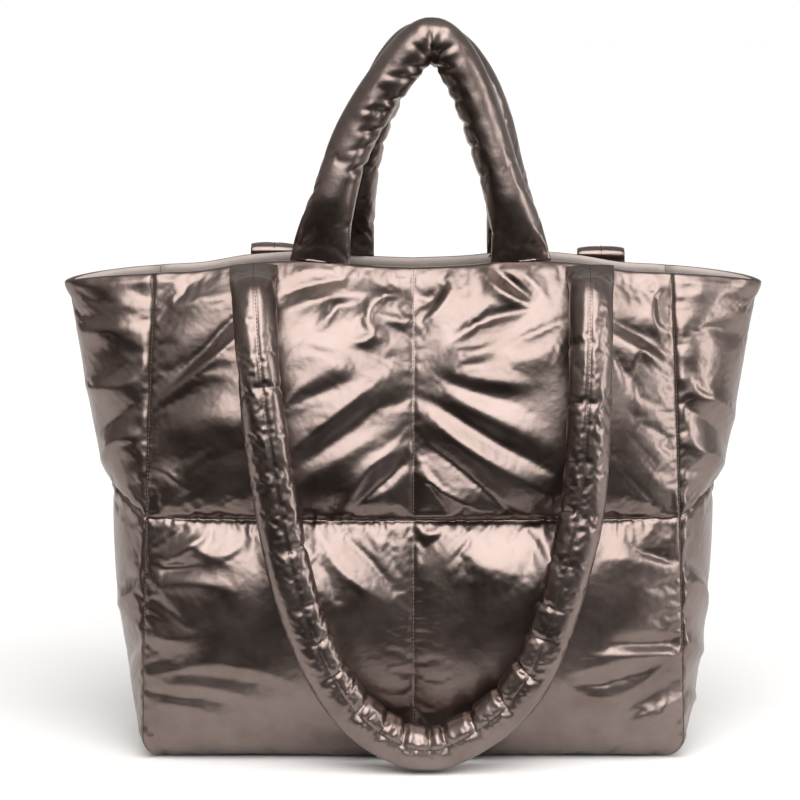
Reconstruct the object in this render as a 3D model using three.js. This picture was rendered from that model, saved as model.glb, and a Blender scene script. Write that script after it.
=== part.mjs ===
// A padded tote bag of quilted nylon: two quilted panels, two side gussets that fold outwards at
// the rim, a flat base, a pair of short handles that stand up and a pair of long straps that hang
// down the outside. The bag stands on its base at Z = 0, its front faces -Y, and X runs across it.
// Lengths are in millimetres.
import * as THREE from "three";

// The body
const HEIGHT = 348; // floor to the rim at the middle of the front
const PANEL_FOOT = 386; // width of a panel at the base
const PANEL_RIM = 366; // width of a panel at the rim
const GUSSET = 140; // width of a gusset, which is also the depth of the base
const MOUTH = 56; // depth of the mouth where panel and gusset meet
const BASE_EDGE = 18; // radius that the walls turn under with
const WING_CURVE = 1.4; // how late the gussets spread on their way up
const WING_FULLNESS = 0.25; // how round the gusset's fold is at the rim
const QUILT_HEIGHT = 174; // floor to the level quilting seam
const QUILT_RISE = 20; // how far that seam climbs towards a gusset's fold

// The padding
const WALL = 3; // thickness of a wall that is stitched flat
const RIM_ROLL = 2.6; // how far the hem at the rim stands out past the stitching
const PANEL_PUFF = 16; // how far a panel's quilted cell stands out
const GUSSET_PUFF = 12; // how far a gusset's quilted cell stands out
const FOLD_TIGHTNESS = 0.8; // share of a gusset's padding that its fold presses flat at the rim
const CENTRE_DRAW = 0.5; // share of a panel's padding that its upright middle seam draws in
const LOWER_BELLY = 1.35; // power that puts the lower cells' fullest line above their middle
const UPPER_BELLY = 0.58; // power that puts the upper cells' fullest line below their middle
const ROW_POWER = 2.6; // how flat a row's fullest part is
const LINING_PUFF = 4; // how far a cell stands into the bag
const BASE_THICK = 6; // thickness of the base
const BASE_PUFF = 5; // how far the base's padding rises into the bag

// The handles and straps
const HANDLE_SPREAD = 144; // between the feet of a short handle
const HANDLE_RISE = 156; // rim to the top of a handle's centre line
const FRONT_SHIFT = 6; // how far the front's handle and strap sit to the right of the middle
const BACK_SHIFT = -18; // the same for the back's, before they are turned half round
const HANDLE_WIDTH = 31; // across a handle
const HANDLE_FOOT = 43; // across the flattened foot of a handle
const FOOT_THICK = 8; // thickness of a handle's foot
const FOOT_REACH = 50; // length of a handle over which its foot grows as thick as the tube
const FOOT_TAPER = 72; // length of a handle over which its foot narrows to the tube
const TAPER_POWER = 1.3; // how far that taper is from a straight one
const HANDLE_LEAN = 12; // how far the tops of the handles lean towards each other
const STRAP_SPREAD = 237; // between the ends of a long strap
const STRAP_WIDTH = 31; // across a strap
const STRAP_DEPTH = 29; // thickness of a strap
const STRAP_TAB = 34; // across the flattened end of a strap
const STRAP_LIFT = 1.5; // clear height between a hanging strap and the floor
const TAB_THICK = 4; // thickness of a flattened strap end
const TAB_FLAT = 25; // length of the back strap that stays flat as it folds over the rim
const TAB_RISE = 3.4; // how far the back strap's ends stand above the rim before they fold over
const TAB_DROP = 0.5; // how far below the rim the front strap's ends are sewn in
const NEAR_RIM = 14; // how far below the rim the padding behind those ends is measured

// Clearances
const SEAM_GAP = 0.3; // between two pieces that are sewn together
const STRAP_GAP = 1.2; // between a hanging strap and the padding behind it

// How finely each piece is divided
const PANEL_COLUMNS = 26;
const WALL_ROWS = 24;
const GUSSET_COLUMNS = 10;
const BASE_COLUMNS = 12;
const BASE_ROWS = 5;
const TUBE_SIDES = 10;

// Rise of the rim above its middle, by share of the way from the middle of the front to the fold.
const RIM_LINE = [
  { way: 0.0, rise: 0 },
  { way: 0.14, rise: 0.004 },
  { way: 0.3, rise: 0.014 },
  { way: 0.46, rise: 0.008 },
  { way: 0.6, rise: -0.008 },
  { way: 0.72, rise: -0.013 },
  { way: 0.86, rise: -0.026 },
  { way: 1.0, rise: -0.04 },
];

// Outward bow of a panel's middle, as a share of the gusset's width, by height.
const BOW_LINE = [
  { way: 0.0, rise: 0.02 },
  { way: 0.3, rise: 0.06 },
  { way: 0.7, rise: 0.07 },
  { way: 1.0, rise: 0.043 },
];

// Main folds of a panel. across and up place the middle, as shares of the half width and of the
// height. long and wide are shares of the half width, turn is in degrees from level, and high is
// a share of the cell's puff: ridges are positive, creases negative.
const PANEL_FOLDS = [
  { across: -0.84, up: 0.79, long: 0.34, wide: 0.09, turn: 40, high: 0.4 },
  { across: -0.74, up: 0.7, long: 0.4, wide: 0.08, turn: 38, high: -0.42 },
  { across: -0.3, up: 0.9, long: 0.3, wide: 0.07, turn: 8, high: -0.4 },
  { across: -0.27, up: 0.82, long: 0.26, wide: 0.09, turn: -18, high: 0.3 },
  { across: -0.26, up: 0.72, long: 0.42, wide: 0.08, turn: 38, high: 0.4 },
  { across: -0.14, up: 0.6, long: 0.26, wide: 0.07, turn: 42, high: 0.26 },
  { across: 0.3, up: 0.9, long: 0.3, wide: 0.07, turn: -48, high: 0.36 },
  { across: 0.34, up: 0.8, long: 0.34, wide: 0.07, turn: 24, high: -0.38 },
  { across: 0.32, up: 0.68, long: 0.5, wide: 0.08, turn: -34, high: 0.4 },
  { across: 0.2, up: 0.6, long: 0.4, wide: 0.07, turn: -34, high: -0.24 },
  { across: 0.82, up: 0.82, long: 0.26, wide: 0.08, turn: -62, high: 0.28 },
  { across: -0.84, up: 0.41, long: 0.3, wide: 0.07, turn: 12, high: -0.26 },
  { across: -0.68, up: 0.15, long: 0.5, wide: 0.06, turn: -8, high: -0.24 },
  { across: -0.72, up: 0.09, long: 0.4, wide: 0.06, turn: -18, high: 0.3 },
  { across: 0.78, up: 0.17, long: 0.4, wide: 0.07, turn: 16, high: 0.24 },
  { across: 0.82, up: 0.1, long: 0.34, wide: 0.06, turn: 24, high: -0.24 },
];

// Main folds of a gusset, in the same columns, with across measured from its middle.
const GUSSET_FOLDS = [
  { across: -0.6, up: 0.74, long: 0.7, wide: 0.16, turn: 30, high: 0.3 },
  { across: -0.55, up: 0.62, long: 0.6, wide: 0.14, turn: 34, high: -0.3 },
  { across: 0.5, up: 0.8, long: 0.6, wide: 0.16, turn: -24, high: 0.26 },
  { across: -0.5, up: 0.34, long: 0.6, wide: 0.16, turn: -30, high: -0.3 },
  { across: 0.45, up: 0.22, long: 0.6, wide: 0.16, turn: 26, high: 0.28 },
  { across: -0.5, up: 0.13, long: 0.5, wide: 0.14, turn: -36, high: 0.28 },
];

// Centre line of the front handle: across as a share of half the spread, up as a share of the rise.
const FRONT_ARCH = [
  { across: -1, up: 0.015 },
  { across: -0.935, up: 0.2 },
  { across: -0.8, up: 0.41 },
  { across: -0.67, up: 0.57 },
  { across: -0.51, up: 0.706 },
  { across: -0.31, up: 0.843 },
  { across: -0.1, up: 0.965 },
  { across: 0.09, up: 1.03 },
  { across: 0.235, up: 0.99 },
  { across: 0.369, up: 0.9 },
  { across: 0.497, up: 0.775 },
  { across: 0.606, up: 0.64 },
  { across: 0.715, up: 0.49 },
  { across: 0.833, up: 0.324 },
  { across: 0.921, up: 0.18 },
  { across: 0.976, up: 0.015 },
];

// Centre line of the back handle, which stands rounder, before it is turned half round.
const BACK_ARCH = [
  { across: -0.79, up: 0.015 },
  { across: -0.75, up: 0.16 },
  { across: -0.704, up: 0.3 },
  { across: -0.62, up: 0.469 },
  { across: -0.53, up: 0.631 },
  { across: -0.4, up: 0.787 },
  { across: -0.25, up: 0.9 },
  { across: -0.12, up: 0.96 },
  { across: 0, up: 0.99 },
  { across: 0.12, up: 1.005 },
  { across: 0.24, up: 0.985 },
  { across: 0.34, up: 0.94 },
  { across: 0.45, up: 0.865 },
  { across: 0.555, up: 0.765 },
  { across: 0.69, up: 0.61 },
  { across: 0.782, up: 0.449 },
  { across: 0.885, up: 0.192 },
  { across: 0.9375, up: 0.015 },
];

// Centre line of a strap: across as a share of half the spread, down as a share of its drop.
const STRAP_LINE = [
  { across: -0.995, down: 0.035 },
  { across: -0.98, down: 0.07 },
  { across: -0.958, down: 0.18 },
  { across: -0.9, down: 0.34 },
  { across: -0.83, down: 0.5 },
  { across: -0.74, down: 0.655 },
  { across: -0.62, down: 0.78 },
  { across: -0.5, down: 0.864 },
  { across: -0.37, down: 0.926 },
  { across: -0.22, down: 0.97 },
  { across: -0.06, down: 0.996 },
  { across: 0.1, down: 0.998 },
  { across: 0.25, down: 0.974 },
  { across: 0.4, down: 0.938 },
  { across: 0.54, down: 0.89 },
  { across: 0.67, down: 0.815 },
  { across: 0.77, down: 0.715 },
  { across: 0.86, down: 0.6 },
  { across: 0.93, down: 0.48 },
  { across: 0.965, down: 0.32 },
  { across: 0.985, down: 0.17 },
  { across: 0.99, down: 0.07 },
  { across: 0.998, down: 0.035 },
];

// Where a tube is pinched: along as a share of its length, deep as a share of its width.
const STRAP_PINCHES = [
  { along: 0.16, deep: 0.06 },
  { along: 0.27, deep: 0.08 },
  { along: 0.36, deep: 0.12 },
  { along: 0.425, deep: 0.13 },
  { along: 0.485, deep: 0.14 },
  { along: 0.545, deep: 0.14 },
  { along: 0.6, deep: 0.13 },
  { along: 0.66, deep: 0.12 },
  { along: 0.75, deep: 0.1 },
  { along: 0.86, deep: 0.06 },
];
const HANDLE_PINCHES = [
  { along: 0.14, deep: 0.06 },
  { along: 0.27, deep: 0.1 },
  { along: 0.38, deep: 0.09 },
  { along: 0.52, deep: 0.2 },
  { along: 0.6, deep: 0.1 },
  { along: 0.7, deep: 0.08 },
  { along: 0.84, deep: 0.06 },
];
const TAUT_PASSES = 8; // how often a strap is pulled straight over the hollows behind it
const PINCH_REACH = 14; // half the length of tube that one pinch draws in

const metallicNylon = new THREE.MeshStandardMaterial({ color: 0x85746d, roughness: 0.34, metalness: 0.8 });

const mix = (from, to, share) => from + (to - from) * share;
const within = (low, value, high) => Math.min(high, Math.max(low, value));
const ease = (share) => share * share * (3 - 2 * share);

// The value of a table with the columns way and rise, at a place on the way, on a smooth curve.
function along(table, way) {
  const last = table.length - 1;
  const next = within(1, table.findIndex((row) => row.way >= way), last);
  const slope = (row) => {
    const [before, after] = [table[Math.max(0, row - 1)], table[Math.min(last, row + 1)]];
    return (after.rise - before.rise) / (after.way - before.way);
  };
  const [from, to] = [table[next - 1], table[next]];
  const span = to.way - from.way;
  const share = within(0, (way - from.way) / span, 1);
  const bend = share * (1 - share) * span;
  return (
    mix(from.rise, to.rise, ease(share)) + bend * ((1 - share) * slope(next - 1) - share * slope(next))
  );
}

const WING = Math.sqrt((GUSSET / 2) ** 2 - (MOUTH / 2) ** 2); // how far the folds stand out at the rim
const ARC = (BASE_EDGE * Math.PI) / 2; // length of the turned-under edge
const WALL_LENGTH = ARC + HEIGHT - BASE_EDGE; // from the base's seam up to the rim

// The height, and the inset of the turned-under edge, at a share of the way up a wall.
function profile(share) {
  const length = share * WALL_LENGTH;
  const angle = Math.min(length, ARC) / BASE_EDGE;
  return {
    z: BASE_EDGE * (1 - Math.cos(angle)) + Math.max(0, length - ARC),
    inset: BASE_EDGE * (1 - Math.sin(angle)),
  };
}

// Half sizes of the bag's cross-section at a height.
function section(z) {
  const up = within(0, z / HEIGHT, 1);
  const wing = WING * up ** WING_CURVE;
  return {
    up,
    wing,
    panel: mix(PANEL_FOOT, PANEL_RIM, up) / 2,
    depth: Math.sqrt((GUSSET / 2) ** 2 - wing ** 2),
  };
}

// Raises a point near the rim to the rim's own line. way runs from the front's middle to the fold.
const rimLift = (z, way) => along(RIM_LINE, way) * HEIGHT * ease(within(0, 2 * (z / HEIGHT) - 1, 1));

// Share of the way from a panel's middle to the gusset's fold at which the seam lies.
const SEAM_WAY = PANEL_RIM / (PANEL_RIM + GUSSET);

// A point of the front panel's stitched surface. across runs from -1 to 1.
function panelSurface(across, share) {
  const { z, inset } = profile(share);
  const at = section(z);
  const bow = along(BOW_LINE, at.up) * GUSSET * (1 - across ** 2);
  return new THREE.Vector3(
    across * (at.panel - inset),
    -(at.depth - inset + bow),
    z + rimLift(z, Math.abs(across) * SEAM_WAY),
  );
}

// A point of the right gusset's stitched surface. across runs from -1 at the front to 1 behind.
function gussetSurface(across, share) {
  const { z, inset } = profile(share);
  const at = section(z);
  const full = (WING_FULLNESS * at.wing) / WING;
  return new THREE.Vector3(
    at.panel - inset + at.wing * (1 - across ** 2),
    (at.depth - inset) * across * (1 + full * (1 - across ** 2)),
    z + rimLift(z, mix(1, SEAM_WAY, Math.abs(across))),
  );
}

// The outward normal of a surface, level at the rim so that the hem's top is flat.
function normalOf(surface, across, share) {
  const step = 0.002;
  const [left, right] = [within(-1, across - step, 1), within(-1, across + step, 1)];
  const [low, high] = [within(0, share - step, 1), within(0, share + step, 1)];
  const sideways = surface(right, share).sub(surface(left, share));
  const upwards = surface(across, high).sub(surface(across, low));
  const normal = sideways.cross(upwards).normalize();
  normal.z *= 1 - ease(within(0, (share - 0.9) / 0.1, 1));
  return normal.normalize();
}

// The normal that two surfaces share along the seam between them, on the right of the front.
const seamNormal = (share) =>
  normalOf(panelSurface, 1, share).add(normalOf(gussetSurface, -1, share)).normalize();

// Turns a surface's own normal into the seam's near its two long edges.
function mitredNormal(surface, across, share) {
  const seam = seamNormal(share);
  if (surface === panelSurface && across < 0) seam.x *= -1;
  if (surface === gussetSurface && across > 0) seam.y *= -1;
  return normalOf(surface, across, share).lerp(seam, Math.abs(across) ** 12).normalize();
}

// How full the padding is at a place in a cell that runs from 0 to 1 each way. draw is the share of
// it that the seam at the cell's near side draws in.
const fullness = (a, b, draw = 1) =>
  (1 - (a < 0.5 ? draw : 1) * Math.abs(2 * a - 1) ** 3) * (1 - Math.abs(2 * b - 1) ** ROW_POWER);

// The sum of the folds at a place, as a share of the puff. reach is the half width in heights.
function foldsAt(folds, across, up, reach) {
  let sum = 0;
  for (const fold of folds) {
    const turn = THREE.MathUtils.degToRad(fold.turn);
    const [dx, dz] = [across - fold.across, (up - fold.up) / reach];
    const lengthwise = (dx * Math.cos(turn) + dz * Math.sin(turn)) / (fold.long / 2);
    const crosswise = (dz * Math.cos(turn) - dx * Math.sin(turn)) / fold.wide;
    sum += fold.high * Math.exp(-(lengthwise ** 2) - crosswise ** 2);
  }
  return sum;
}

// Place within the lower or the upper quilted cell, given the height of the seam between them. It is
// 0.5 where the settled filling is fullest.
const cellRow = (z, seam) =>
  z < seam
    ? within(0, z / seam, 1) ** LOWER_BELLY
    : within(0, (z - seam) / (HEIGHT - seam), 1) ** UPPER_BELLY;

// How far a panel's and a gusset's padding stand out, as shares of their puff.
function panelPadding(across, share) {
  const { z } = profile(share);
  const full = fullness(Math.abs(across), cellRow(z, QUILT_HEIGHT), CENTRE_DRAW);
  return full * (1 + foldsAt(PANEL_FOLDS, across, z / HEIGHT, PANEL_RIM / 2 / HEIGHT));
}
function gussetPadding(across, share) {
  const { z } = profile(share);
  const crease = 1 - across ** 2;
  const full = fullness((across + 1) / 2, cellRow(z, QUILT_HEIGHT + QUILT_RISE * crease));
  const tight = FOLD_TIGHTNESS * crease * Math.sqrt(section(z).wing / WING);
  return full * (1 - tight) * (1 + foldsAt(GUSSET_FOLDS, across, z / HEIGHT, GUSSET / 2 / HEIGHT));
}

// How far the hem stands out near the rim.
const hem = (share) => RIM_ROLL * ease(within(0, (share - 0.94) / 0.06, 1));

// A point of a padded wall's outside or inside. Nothing reaches below the floor.
function wallPoint(surface, padding, puff, across, share, outside) {
  const edge = Math.sign(across) * Math.abs(across) ** 40 * (SEAM_GAP / 2);
  const point = surface(across, share);
  const alongside = surface === panelSurface ? new THREE.Vector3(1, 0, 0) : new THREE.Vector3(0, 1, 0);
  const away = outside
    ? puff * padding(across, share) + hem(share)
    : -WALL - LINING_PUFF * padding(across, share);
  point.addScaledVector(mitredNormal(surface, across, share), away).addScaledVector(alongside, -edge);
  point.z = Math.max(0, point.z);
  return point;
}

// A closed slab from two grids of points that share their edges.
function slab(columns, rows, outer, inner) {
  const positions = [];
  const index = [];
  const wide = columns + 1;
  for (const skin of [outer, inner])
    for (let j = 0; j <= rows; j++)
      for (let i = 0; i <= columns; i++) positions.push(...skin(i / columns, j / rows).toArray());
  const inside = wide * (rows + 1);
  const at = (i, j) => j * wide + i;
  const quad = (a, b, c, d) => index.push(a, b, c, a, c, d);
  for (let j = 0; j < rows; j++)
    for (let i = 0; i < columns; i++) {
      const [a, b, c, d] = [at(i, j), at(i + 1, j), at(i + 1, j + 1), at(i, j + 1)];
      quad(a, b, c, d);
      quad(inside + d, inside + c, inside + b, inside + a);
    }
  for (let i = 0; i < columns; i++) {
    quad(at(i + 1, 0), at(i, 0), inside + at(i, 0), inside + at(i + 1, 0));
    quad(at(i, rows), at(i + 1, rows), inside + at(i + 1, rows), inside + at(i, rows));
  }
  for (let j = 0; j < rows; j++) {
    quad(at(0, j), at(0, j + 1), inside + at(0, j + 1), inside + at(0, j));
    quad(at(columns, j + 1), at(columns, j), inside + at(columns, j), inside + at(columns, j + 1));
  }
  const geometry = new THREE.BufferGeometry();
  geometry.setAttribute("position", new THREE.Float32BufferAttribute(positions, 3));
  geometry.setIndex(index);
  return geometry;
}

// A padded wall of the bag as a slab.
function paddedWall(surface, padding, puff, columns) {
  const skin = (outside) => (a, b) => wallPoint(surface, padding, puff, 2 * a - 1, b, outside);
  return slab(columns, WALL_ROWS, skin(true), skin(false));
}

// The padded base, flat underneath, inside the walls' turned-under edges.
function basePanel() {
  const halfWidth = PANEL_FOOT / 2 - BASE_EDGE - SEAM_GAP;
  const halfDepth = GUSSET / 2 - BASE_EDGE - SEAM_GAP;
  const bowAtFoot = BOW_LINE[0].rise * GUSSET;
  const plan = (a, b) => {
    const across = 2 * a - 1;
    const deep = halfDepth + bowAtFoot * (1 - across ** 2);
    return new THREE.Vector3(across * halfWidth, (1 - 2 * b) * deep, 0);
  };
  const top = (a, b) => plan(a, b).setZ(BASE_THICK - WALL + BASE_PUFF * fullness(a, b));
  return slab(BASE_COLUMNS, BASE_ROWS, (a, b) => plan(a, b), top);
}

// Height of the panel's flat rim, straight from one of its columns to the next.
function rimTop(x) {
  const column = (x / PANEL_RIM + 0.5) * PANEL_COLUMNS;
  const left = Math.floor(column);
  const height = (i) => panelSurface((2 * i) / PANEL_COLUMNS - 1, 1).z;
  return mix(height(left), height(left + 1), column - left);
}

// Depth of the middle of the rim's thickness on the front, by distance from the bag's middle.
function rimMiddle(x) {
  const across = within(-1, x / (PANEL_RIM / 2), 1);
  return panelSurface(across, 1).y + (WALL - RIM_ROLL) / 2;
}

// How far the front padding reaches at a place, over the area that a strap covers.
function frontReach(x, z) {
  let reach = 0;
  for (const dx of [-1, -0.5, 0, 0.5, 1])
    for (const dz of [-1, -0.5, 0, 0.5, 1])
      reach = Math.max(reach, frontAt(x + (dx * STRAP_WIDTH) / 2, z + (dz * STRAP_DEPTH) / 2));
  return reach;
}

// How far the front panel stands out at one place.
function frontAt(x, z) {
  const height = within(BASE_EDGE, z, HEIGHT);
  const share = (height - BASE_EDGE + ARC) / WALL_LENGTH;
  const across = within(-1, x / section(height).panel, 1);
  return -wallPoint(panelSurface, panelPadding, PANEL_PUFF, across, share, true).y;
}

// Rings of a tube round a path. shape(share, length) gives half the width and half the thickness,
// and the first ring's width runs along X.
function tubeRings(path, stations, shape) {
  const length = path.getLength();
  const rings = [];
  let side = new THREE.Vector3(1, 0, 0);
  for (const station of stations) {
    const share = station / length;
    const centre = path.getPointAt(share);
    const tangent = path.getTangentAt(share);
    side = side.clone().addScaledVector(tangent, -side.dot(tangent)).normalize();
    const thick = tangent.clone().cross(side);
    const { halfWidth, halfThick } = shape(share, length);
    const ring = [];
    for (let k = 0; k < TUBE_SIDES; k++) {
      const angle = (2 * Math.PI * (k + 0.5)) / TUBE_SIDES;
      ring.push(
        centre
          .clone()
          .addScaledVector(side, halfWidth * Math.cos(angle))
          .addScaledVector(thick, halfThick * Math.sin(angle)),
      );
    }
    rings.push(ring);
  }
  return rings;
}

// A closed tube through rings of points. Its ends are closed by strips that run across the width.
function loft(rings) {
  const sides = rings[0].length;
  const positions = rings.flat().flatMap((point) => point.toArray());
  const index = [];
  for (let j = 0; j < rings.length - 1; j++)
    for (let k = 0; k < sides; k++) {
      const next = (k + 1) % sides;
      const [a, b] = [j * sides + k, j * sides + next];
      index.push(a, b, b + sides, a, b + sides, a + sides);
    }
  const last = (rings.length - 1) * sides;
  for (let k = 0; k < sides / 2 - 1; k++) {
    const [a, b, c, d] = [k, k + 1, sides - 2 - k, sides - 1 - k];
    index.push(a, c, b, a, d, c, last + a, last + b, last + c, last + a, last + c, last + d);
  }
  const geometry = new THREE.BufferGeometry();
  geometry.setAttribute("position", new THREE.Float32BufferAttribute(positions, 3));
  geometry.setIndex(index);
  return geometry;
}

// How much of a tube's width is left at a distance along it.
function pinched(pinches, share, length) {
  let drawn = 0;
  for (const pinch of pinches)
    drawn += pinch.deep * Math.exp(-((((share - pinch.along) * length) / PINCH_REACH) ** 2) * 4);
  return 1 - drawn;
}

// Distances along a tube: short steps near its ends and longer ones between.
function stationsFor(length, endLength, endSteps, middleSteps) {
  const stations = [];
  for (let i = 0; i < endSteps; i++) stations.push((endLength * i) / endSteps);
  for (let i = 0; i <= middleSteps; i++)
    stations.push(mix(endLength, length - endLength, i / middleSteps));
  for (let i = 1; i <= endSteps; i++) stations.push(length - endLength + (endLength * i) / endSteps);
  return stations;
}

// A short handle of the front, standing on the rim.
function handle(arch, shift) {
  const points = arch.map(({ across, up }) => {
    const x = shift + (across * HANDLE_SPREAD) / 2;
    const lean = HANDLE_LEAN * ease(within(0, up, 1));
    return new THREE.Vector3(x, rimMiddle(x) + lean, HEIGHT + up * HANDLE_RISE);
  });
  const path = new THREE.CatmullRomCurve3(points, false, "centripetal");
  const shape = (share, length) => {
    const fromEnd = Math.min(share, 1 - share) * length;
    const spread = (1 - within(0, fromEnd / FOOT_TAPER, 1)) ** TAPER_POWER;
    const flat = 1 - ease(within(0, fromEnd / FOOT_REACH, 1));
    const left = pinched(HANDLE_PINCHES, share, length);
    return {
      halfWidth: (mix(HANDLE_WIDTH, HANDLE_FOOT, spread) / 2) * left,
      halfThick: (mix(HANDLE_WIDTH, FOOT_THICK, flat) / 2) * left,
    };
  };
  const rings = tubeRings(path, stationsFor(path.getLength(), FOOT_TAPER, 8, 22), shape);
  for (const ring of [rings[0], rings[rings.length - 1]])
    for (const point of ring) point.z = rimTop(point.x) + SEAM_GAP;
  return loft(rings);
}

// The path of a strap, hanging against the padding. A folded one comes up from inside the rim first.
function strapPath(shift, folded) {
  const drop = HEIGHT - STRAP_LIFT - STRAP_WIDTH / 2;
  const end = (side) => {
    const x = shift + (side * STRAP_SPREAD) / 2;
    const y = rimMiddle(x);
    const z = Math.max(rimTop(x - STRAP_TAB / 2), rimTop(x + STRAP_TAB / 2));
    const rimFront = -(frontReach(x, z + STRAP_DEPTH / 2 - NEAR_RIM) + TAB_THICK / 2 + STRAP_GAP);
    if (!folded) return [new THREE.Vector3(x, rimFront, z - TAB_DROP)];
    const front = -(frontReach(x, z) + TAB_THICK / 2 + STRAP_GAP);
    return [
      new THREE.Vector3(x, y, z),
      new THREE.Vector3(x, y, z + TAB_RISE - TAB_THICK / 2),
      new THREE.Vector3(x, (y + front) / 2, z + TAB_RISE),
      new THREE.Vector3(x, front, z + TAB_RISE - TAB_THICK / 2),
      new THREE.Vector3(x, front - TAB_THICK / 4, z - TAB_THICK),
    ];
  };
  const hanging = STRAP_LINE.map(({ across, down }) => {
    const x = shift + (across * STRAP_SPREAD) / 2;
    const z = HEIGHT - down * drop;
    const thick = mix(TAB_THICK, STRAP_DEPTH, ease(within(0, (HEIGHT - z) / STRAP_TAB, 1)));
    return new THREE.Vector3(x, -(frontReach(x, z) + thick / 2 + STRAP_GAP), z);
  });
  for (let pass = 0; pass < TAUT_PASSES; pass++)
    for (let i = 1; i < hanging.length - 1; i++)
      hanging[i].y = Math.min(hanging[i].y, (hanging[i - 1].y + hanging[i + 1].y) / 2);
  return new THREE.CatmullRomCurve3([...end(-1), ...hanging, ...end(1).reverse()], false, "centripetal");
}

// A long strap of the front.
function strap(shift, folded) {
  const path = strapPath(shift, folded);
  const flat = folded ? TAB_FLAT : 0;
  const shape = (share, length) => {
    const fromEnd = Math.min(share, 1 - share) * length;
    const rounded = ease(within(0, (fromEnd - flat) / STRAP_TAB, 1));
    const left = pinched(STRAP_PINCHES, share, length);
    return {
      halfWidth: (mix(STRAP_TAB, STRAP_WIDTH, rounded) / 2) * left,
      halfThick: (mix(TAB_THICK, STRAP_DEPTH, rounded) / 2) * left,
    };
  };
  const rings = tubeRings(path, stationsFor(path.getLength(), STRAP_TAB, 10, 40), shape);
  for (const ring of [rings[0], rings[rings.length - 1]]) {
    const middle = ring.reduce((sum, point) => sum + point.y / ring.length, 0);
    for (const point of ring) {
      point.z = rimTop(point.x) + (folded ? SEAM_GAP : -TAB_DROP);
      if (!folded && point.y > middle) point.y = -(frontAt(point.x, HEIGHT) + 2 * SEAM_GAP);
    }
  }
  return loft(rings);
}

const bag = new THREE.Group();

// Adds a piece. A piece of the back or of the left is the front's or the right's, turned half round.
function add(name, geometry, turned = false) {
  const mesh = new THREE.Mesh(geometry, metallicNylon);
  mesh.name = name;
  if (turned) mesh.rotation.z = Math.PI;
  bag.add(mesh);
}

const panel = paddedWall(panelSurface, panelPadding, PANEL_PUFF, PANEL_COLUMNS);
const gusset = paddedWall(gussetSurface, gussetPadding, GUSSET_PUFF, GUSSET_COLUMNS);
add("front_panel", panel);
add("back_panel", panel, true);
add("right_gusset", gusset);
add("left_gusset", gusset, true);
add("base_panel", basePanel());
add("front_handle", handle(FRONT_ARCH, FRONT_SHIFT));
add("back_handle", handle(BACK_ARCH, BACK_SHIFT), true);
add("front_strap", strap(FRONT_SHIFT, false));
add("back_strap", strap(BACK_SHIFT, true), true);

export default bag;
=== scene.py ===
"""A padded tote bag of quilted metallic nylon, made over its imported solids.

Every size is in millimetres in the bag's own frame: it stands on Z = 0, its front faces -Y and X
runs across it. The padded cloth is filled out by Blender's cloth simulation, and the result is
kept as plain meshes in metres.
"""

from __future__ import annotations

import logging
import math
from dataclasses import dataclass, field, replace
from enum import Enum
from typing import Callable, Iterable, Sequence

import bmesh
import bpy
import numpy as np
from mathutils import Matrix, Vector

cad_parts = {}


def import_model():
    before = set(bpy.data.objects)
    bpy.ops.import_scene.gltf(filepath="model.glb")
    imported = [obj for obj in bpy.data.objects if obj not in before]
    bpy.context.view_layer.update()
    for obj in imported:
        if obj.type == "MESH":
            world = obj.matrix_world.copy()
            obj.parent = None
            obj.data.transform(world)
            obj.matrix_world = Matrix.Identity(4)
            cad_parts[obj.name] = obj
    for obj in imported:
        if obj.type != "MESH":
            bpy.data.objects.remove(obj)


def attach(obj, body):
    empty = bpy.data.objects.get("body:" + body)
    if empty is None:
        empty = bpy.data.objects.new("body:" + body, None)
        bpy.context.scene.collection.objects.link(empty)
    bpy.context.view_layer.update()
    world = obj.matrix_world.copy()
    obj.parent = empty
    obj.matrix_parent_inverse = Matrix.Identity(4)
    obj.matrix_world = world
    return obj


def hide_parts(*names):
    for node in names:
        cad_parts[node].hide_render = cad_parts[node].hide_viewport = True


LOG = logging.getLogger("tote")
MM = 0.001

# A fold is worked out along this many points, and it ends this many times its width away.
FOLD_POINTS = 15
FOLD_REACH = 3
# A fold starts and ends at a small share of its height: the part of a half sine that it follows,
# and the power that keeps it high along its length.
FADE_START, FADE_SPAN, FADE_POWER = 0.08, 0.84, 0.7
# The shares of their mean between which pleats vary, and their slant.
PLEAT_PITCH, PLEAT_REACH, PLEAT_HIGH = (0.7, 1.3), (0.5, 1.3), (0.5, 1.2)
PLEAT_WIDE = (0.2, 0.34)  # of the pitch
PLEAT_SLANT = (-0.35, 0.35)
PLEAT_START = 1.5  # how far from the stitches a pleat comes up, in millimetres

Array = np.ndarray
Surface = Callable[[Array, Array], Array]


def ease(share: Array | float) -> Array | float:
    """Returns a share from 0 to 1 eased at both of its ends."""
    share = np.clip(share, 0.0, 1.0)
    return share * share * (3.0 - 2.0 * share)


def smooth_line(rows: Sequence[tuple[float, float]], way: Array | float) -> Array:
    """Reads a smooth curve through a table.

    Args:
        rows: the way and the rise of each row, in order of the way.
        way: where to read the curve.

    Returns:
        The rise at each way.
    """
    ways, rises = (np.array(column) for column in zip(*rows))
    before = np.maximum(np.arange(len(ways)) - 1, 0)
    after = np.minimum(np.arange(len(ways)) + 1, len(ways) - 1)
    slopes = (rises[after] - rises[before]) / (ways[after] - ways[before])
    at = np.clip(np.searchsorted(ways, way), 1, len(ways) - 1)
    span = ways[at] - ways[at - 1]
    share = np.clip((way - ways[at - 1]) / span, 0.0, 1.0)
    bend = share * (1.0 - share) * span
    level = rises[at - 1] + (rises[at] - rises[at - 1]) * ease(share)
    return level + bend * ((1.0 - share) * slopes[at - 1] - share * slopes[at])


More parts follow.
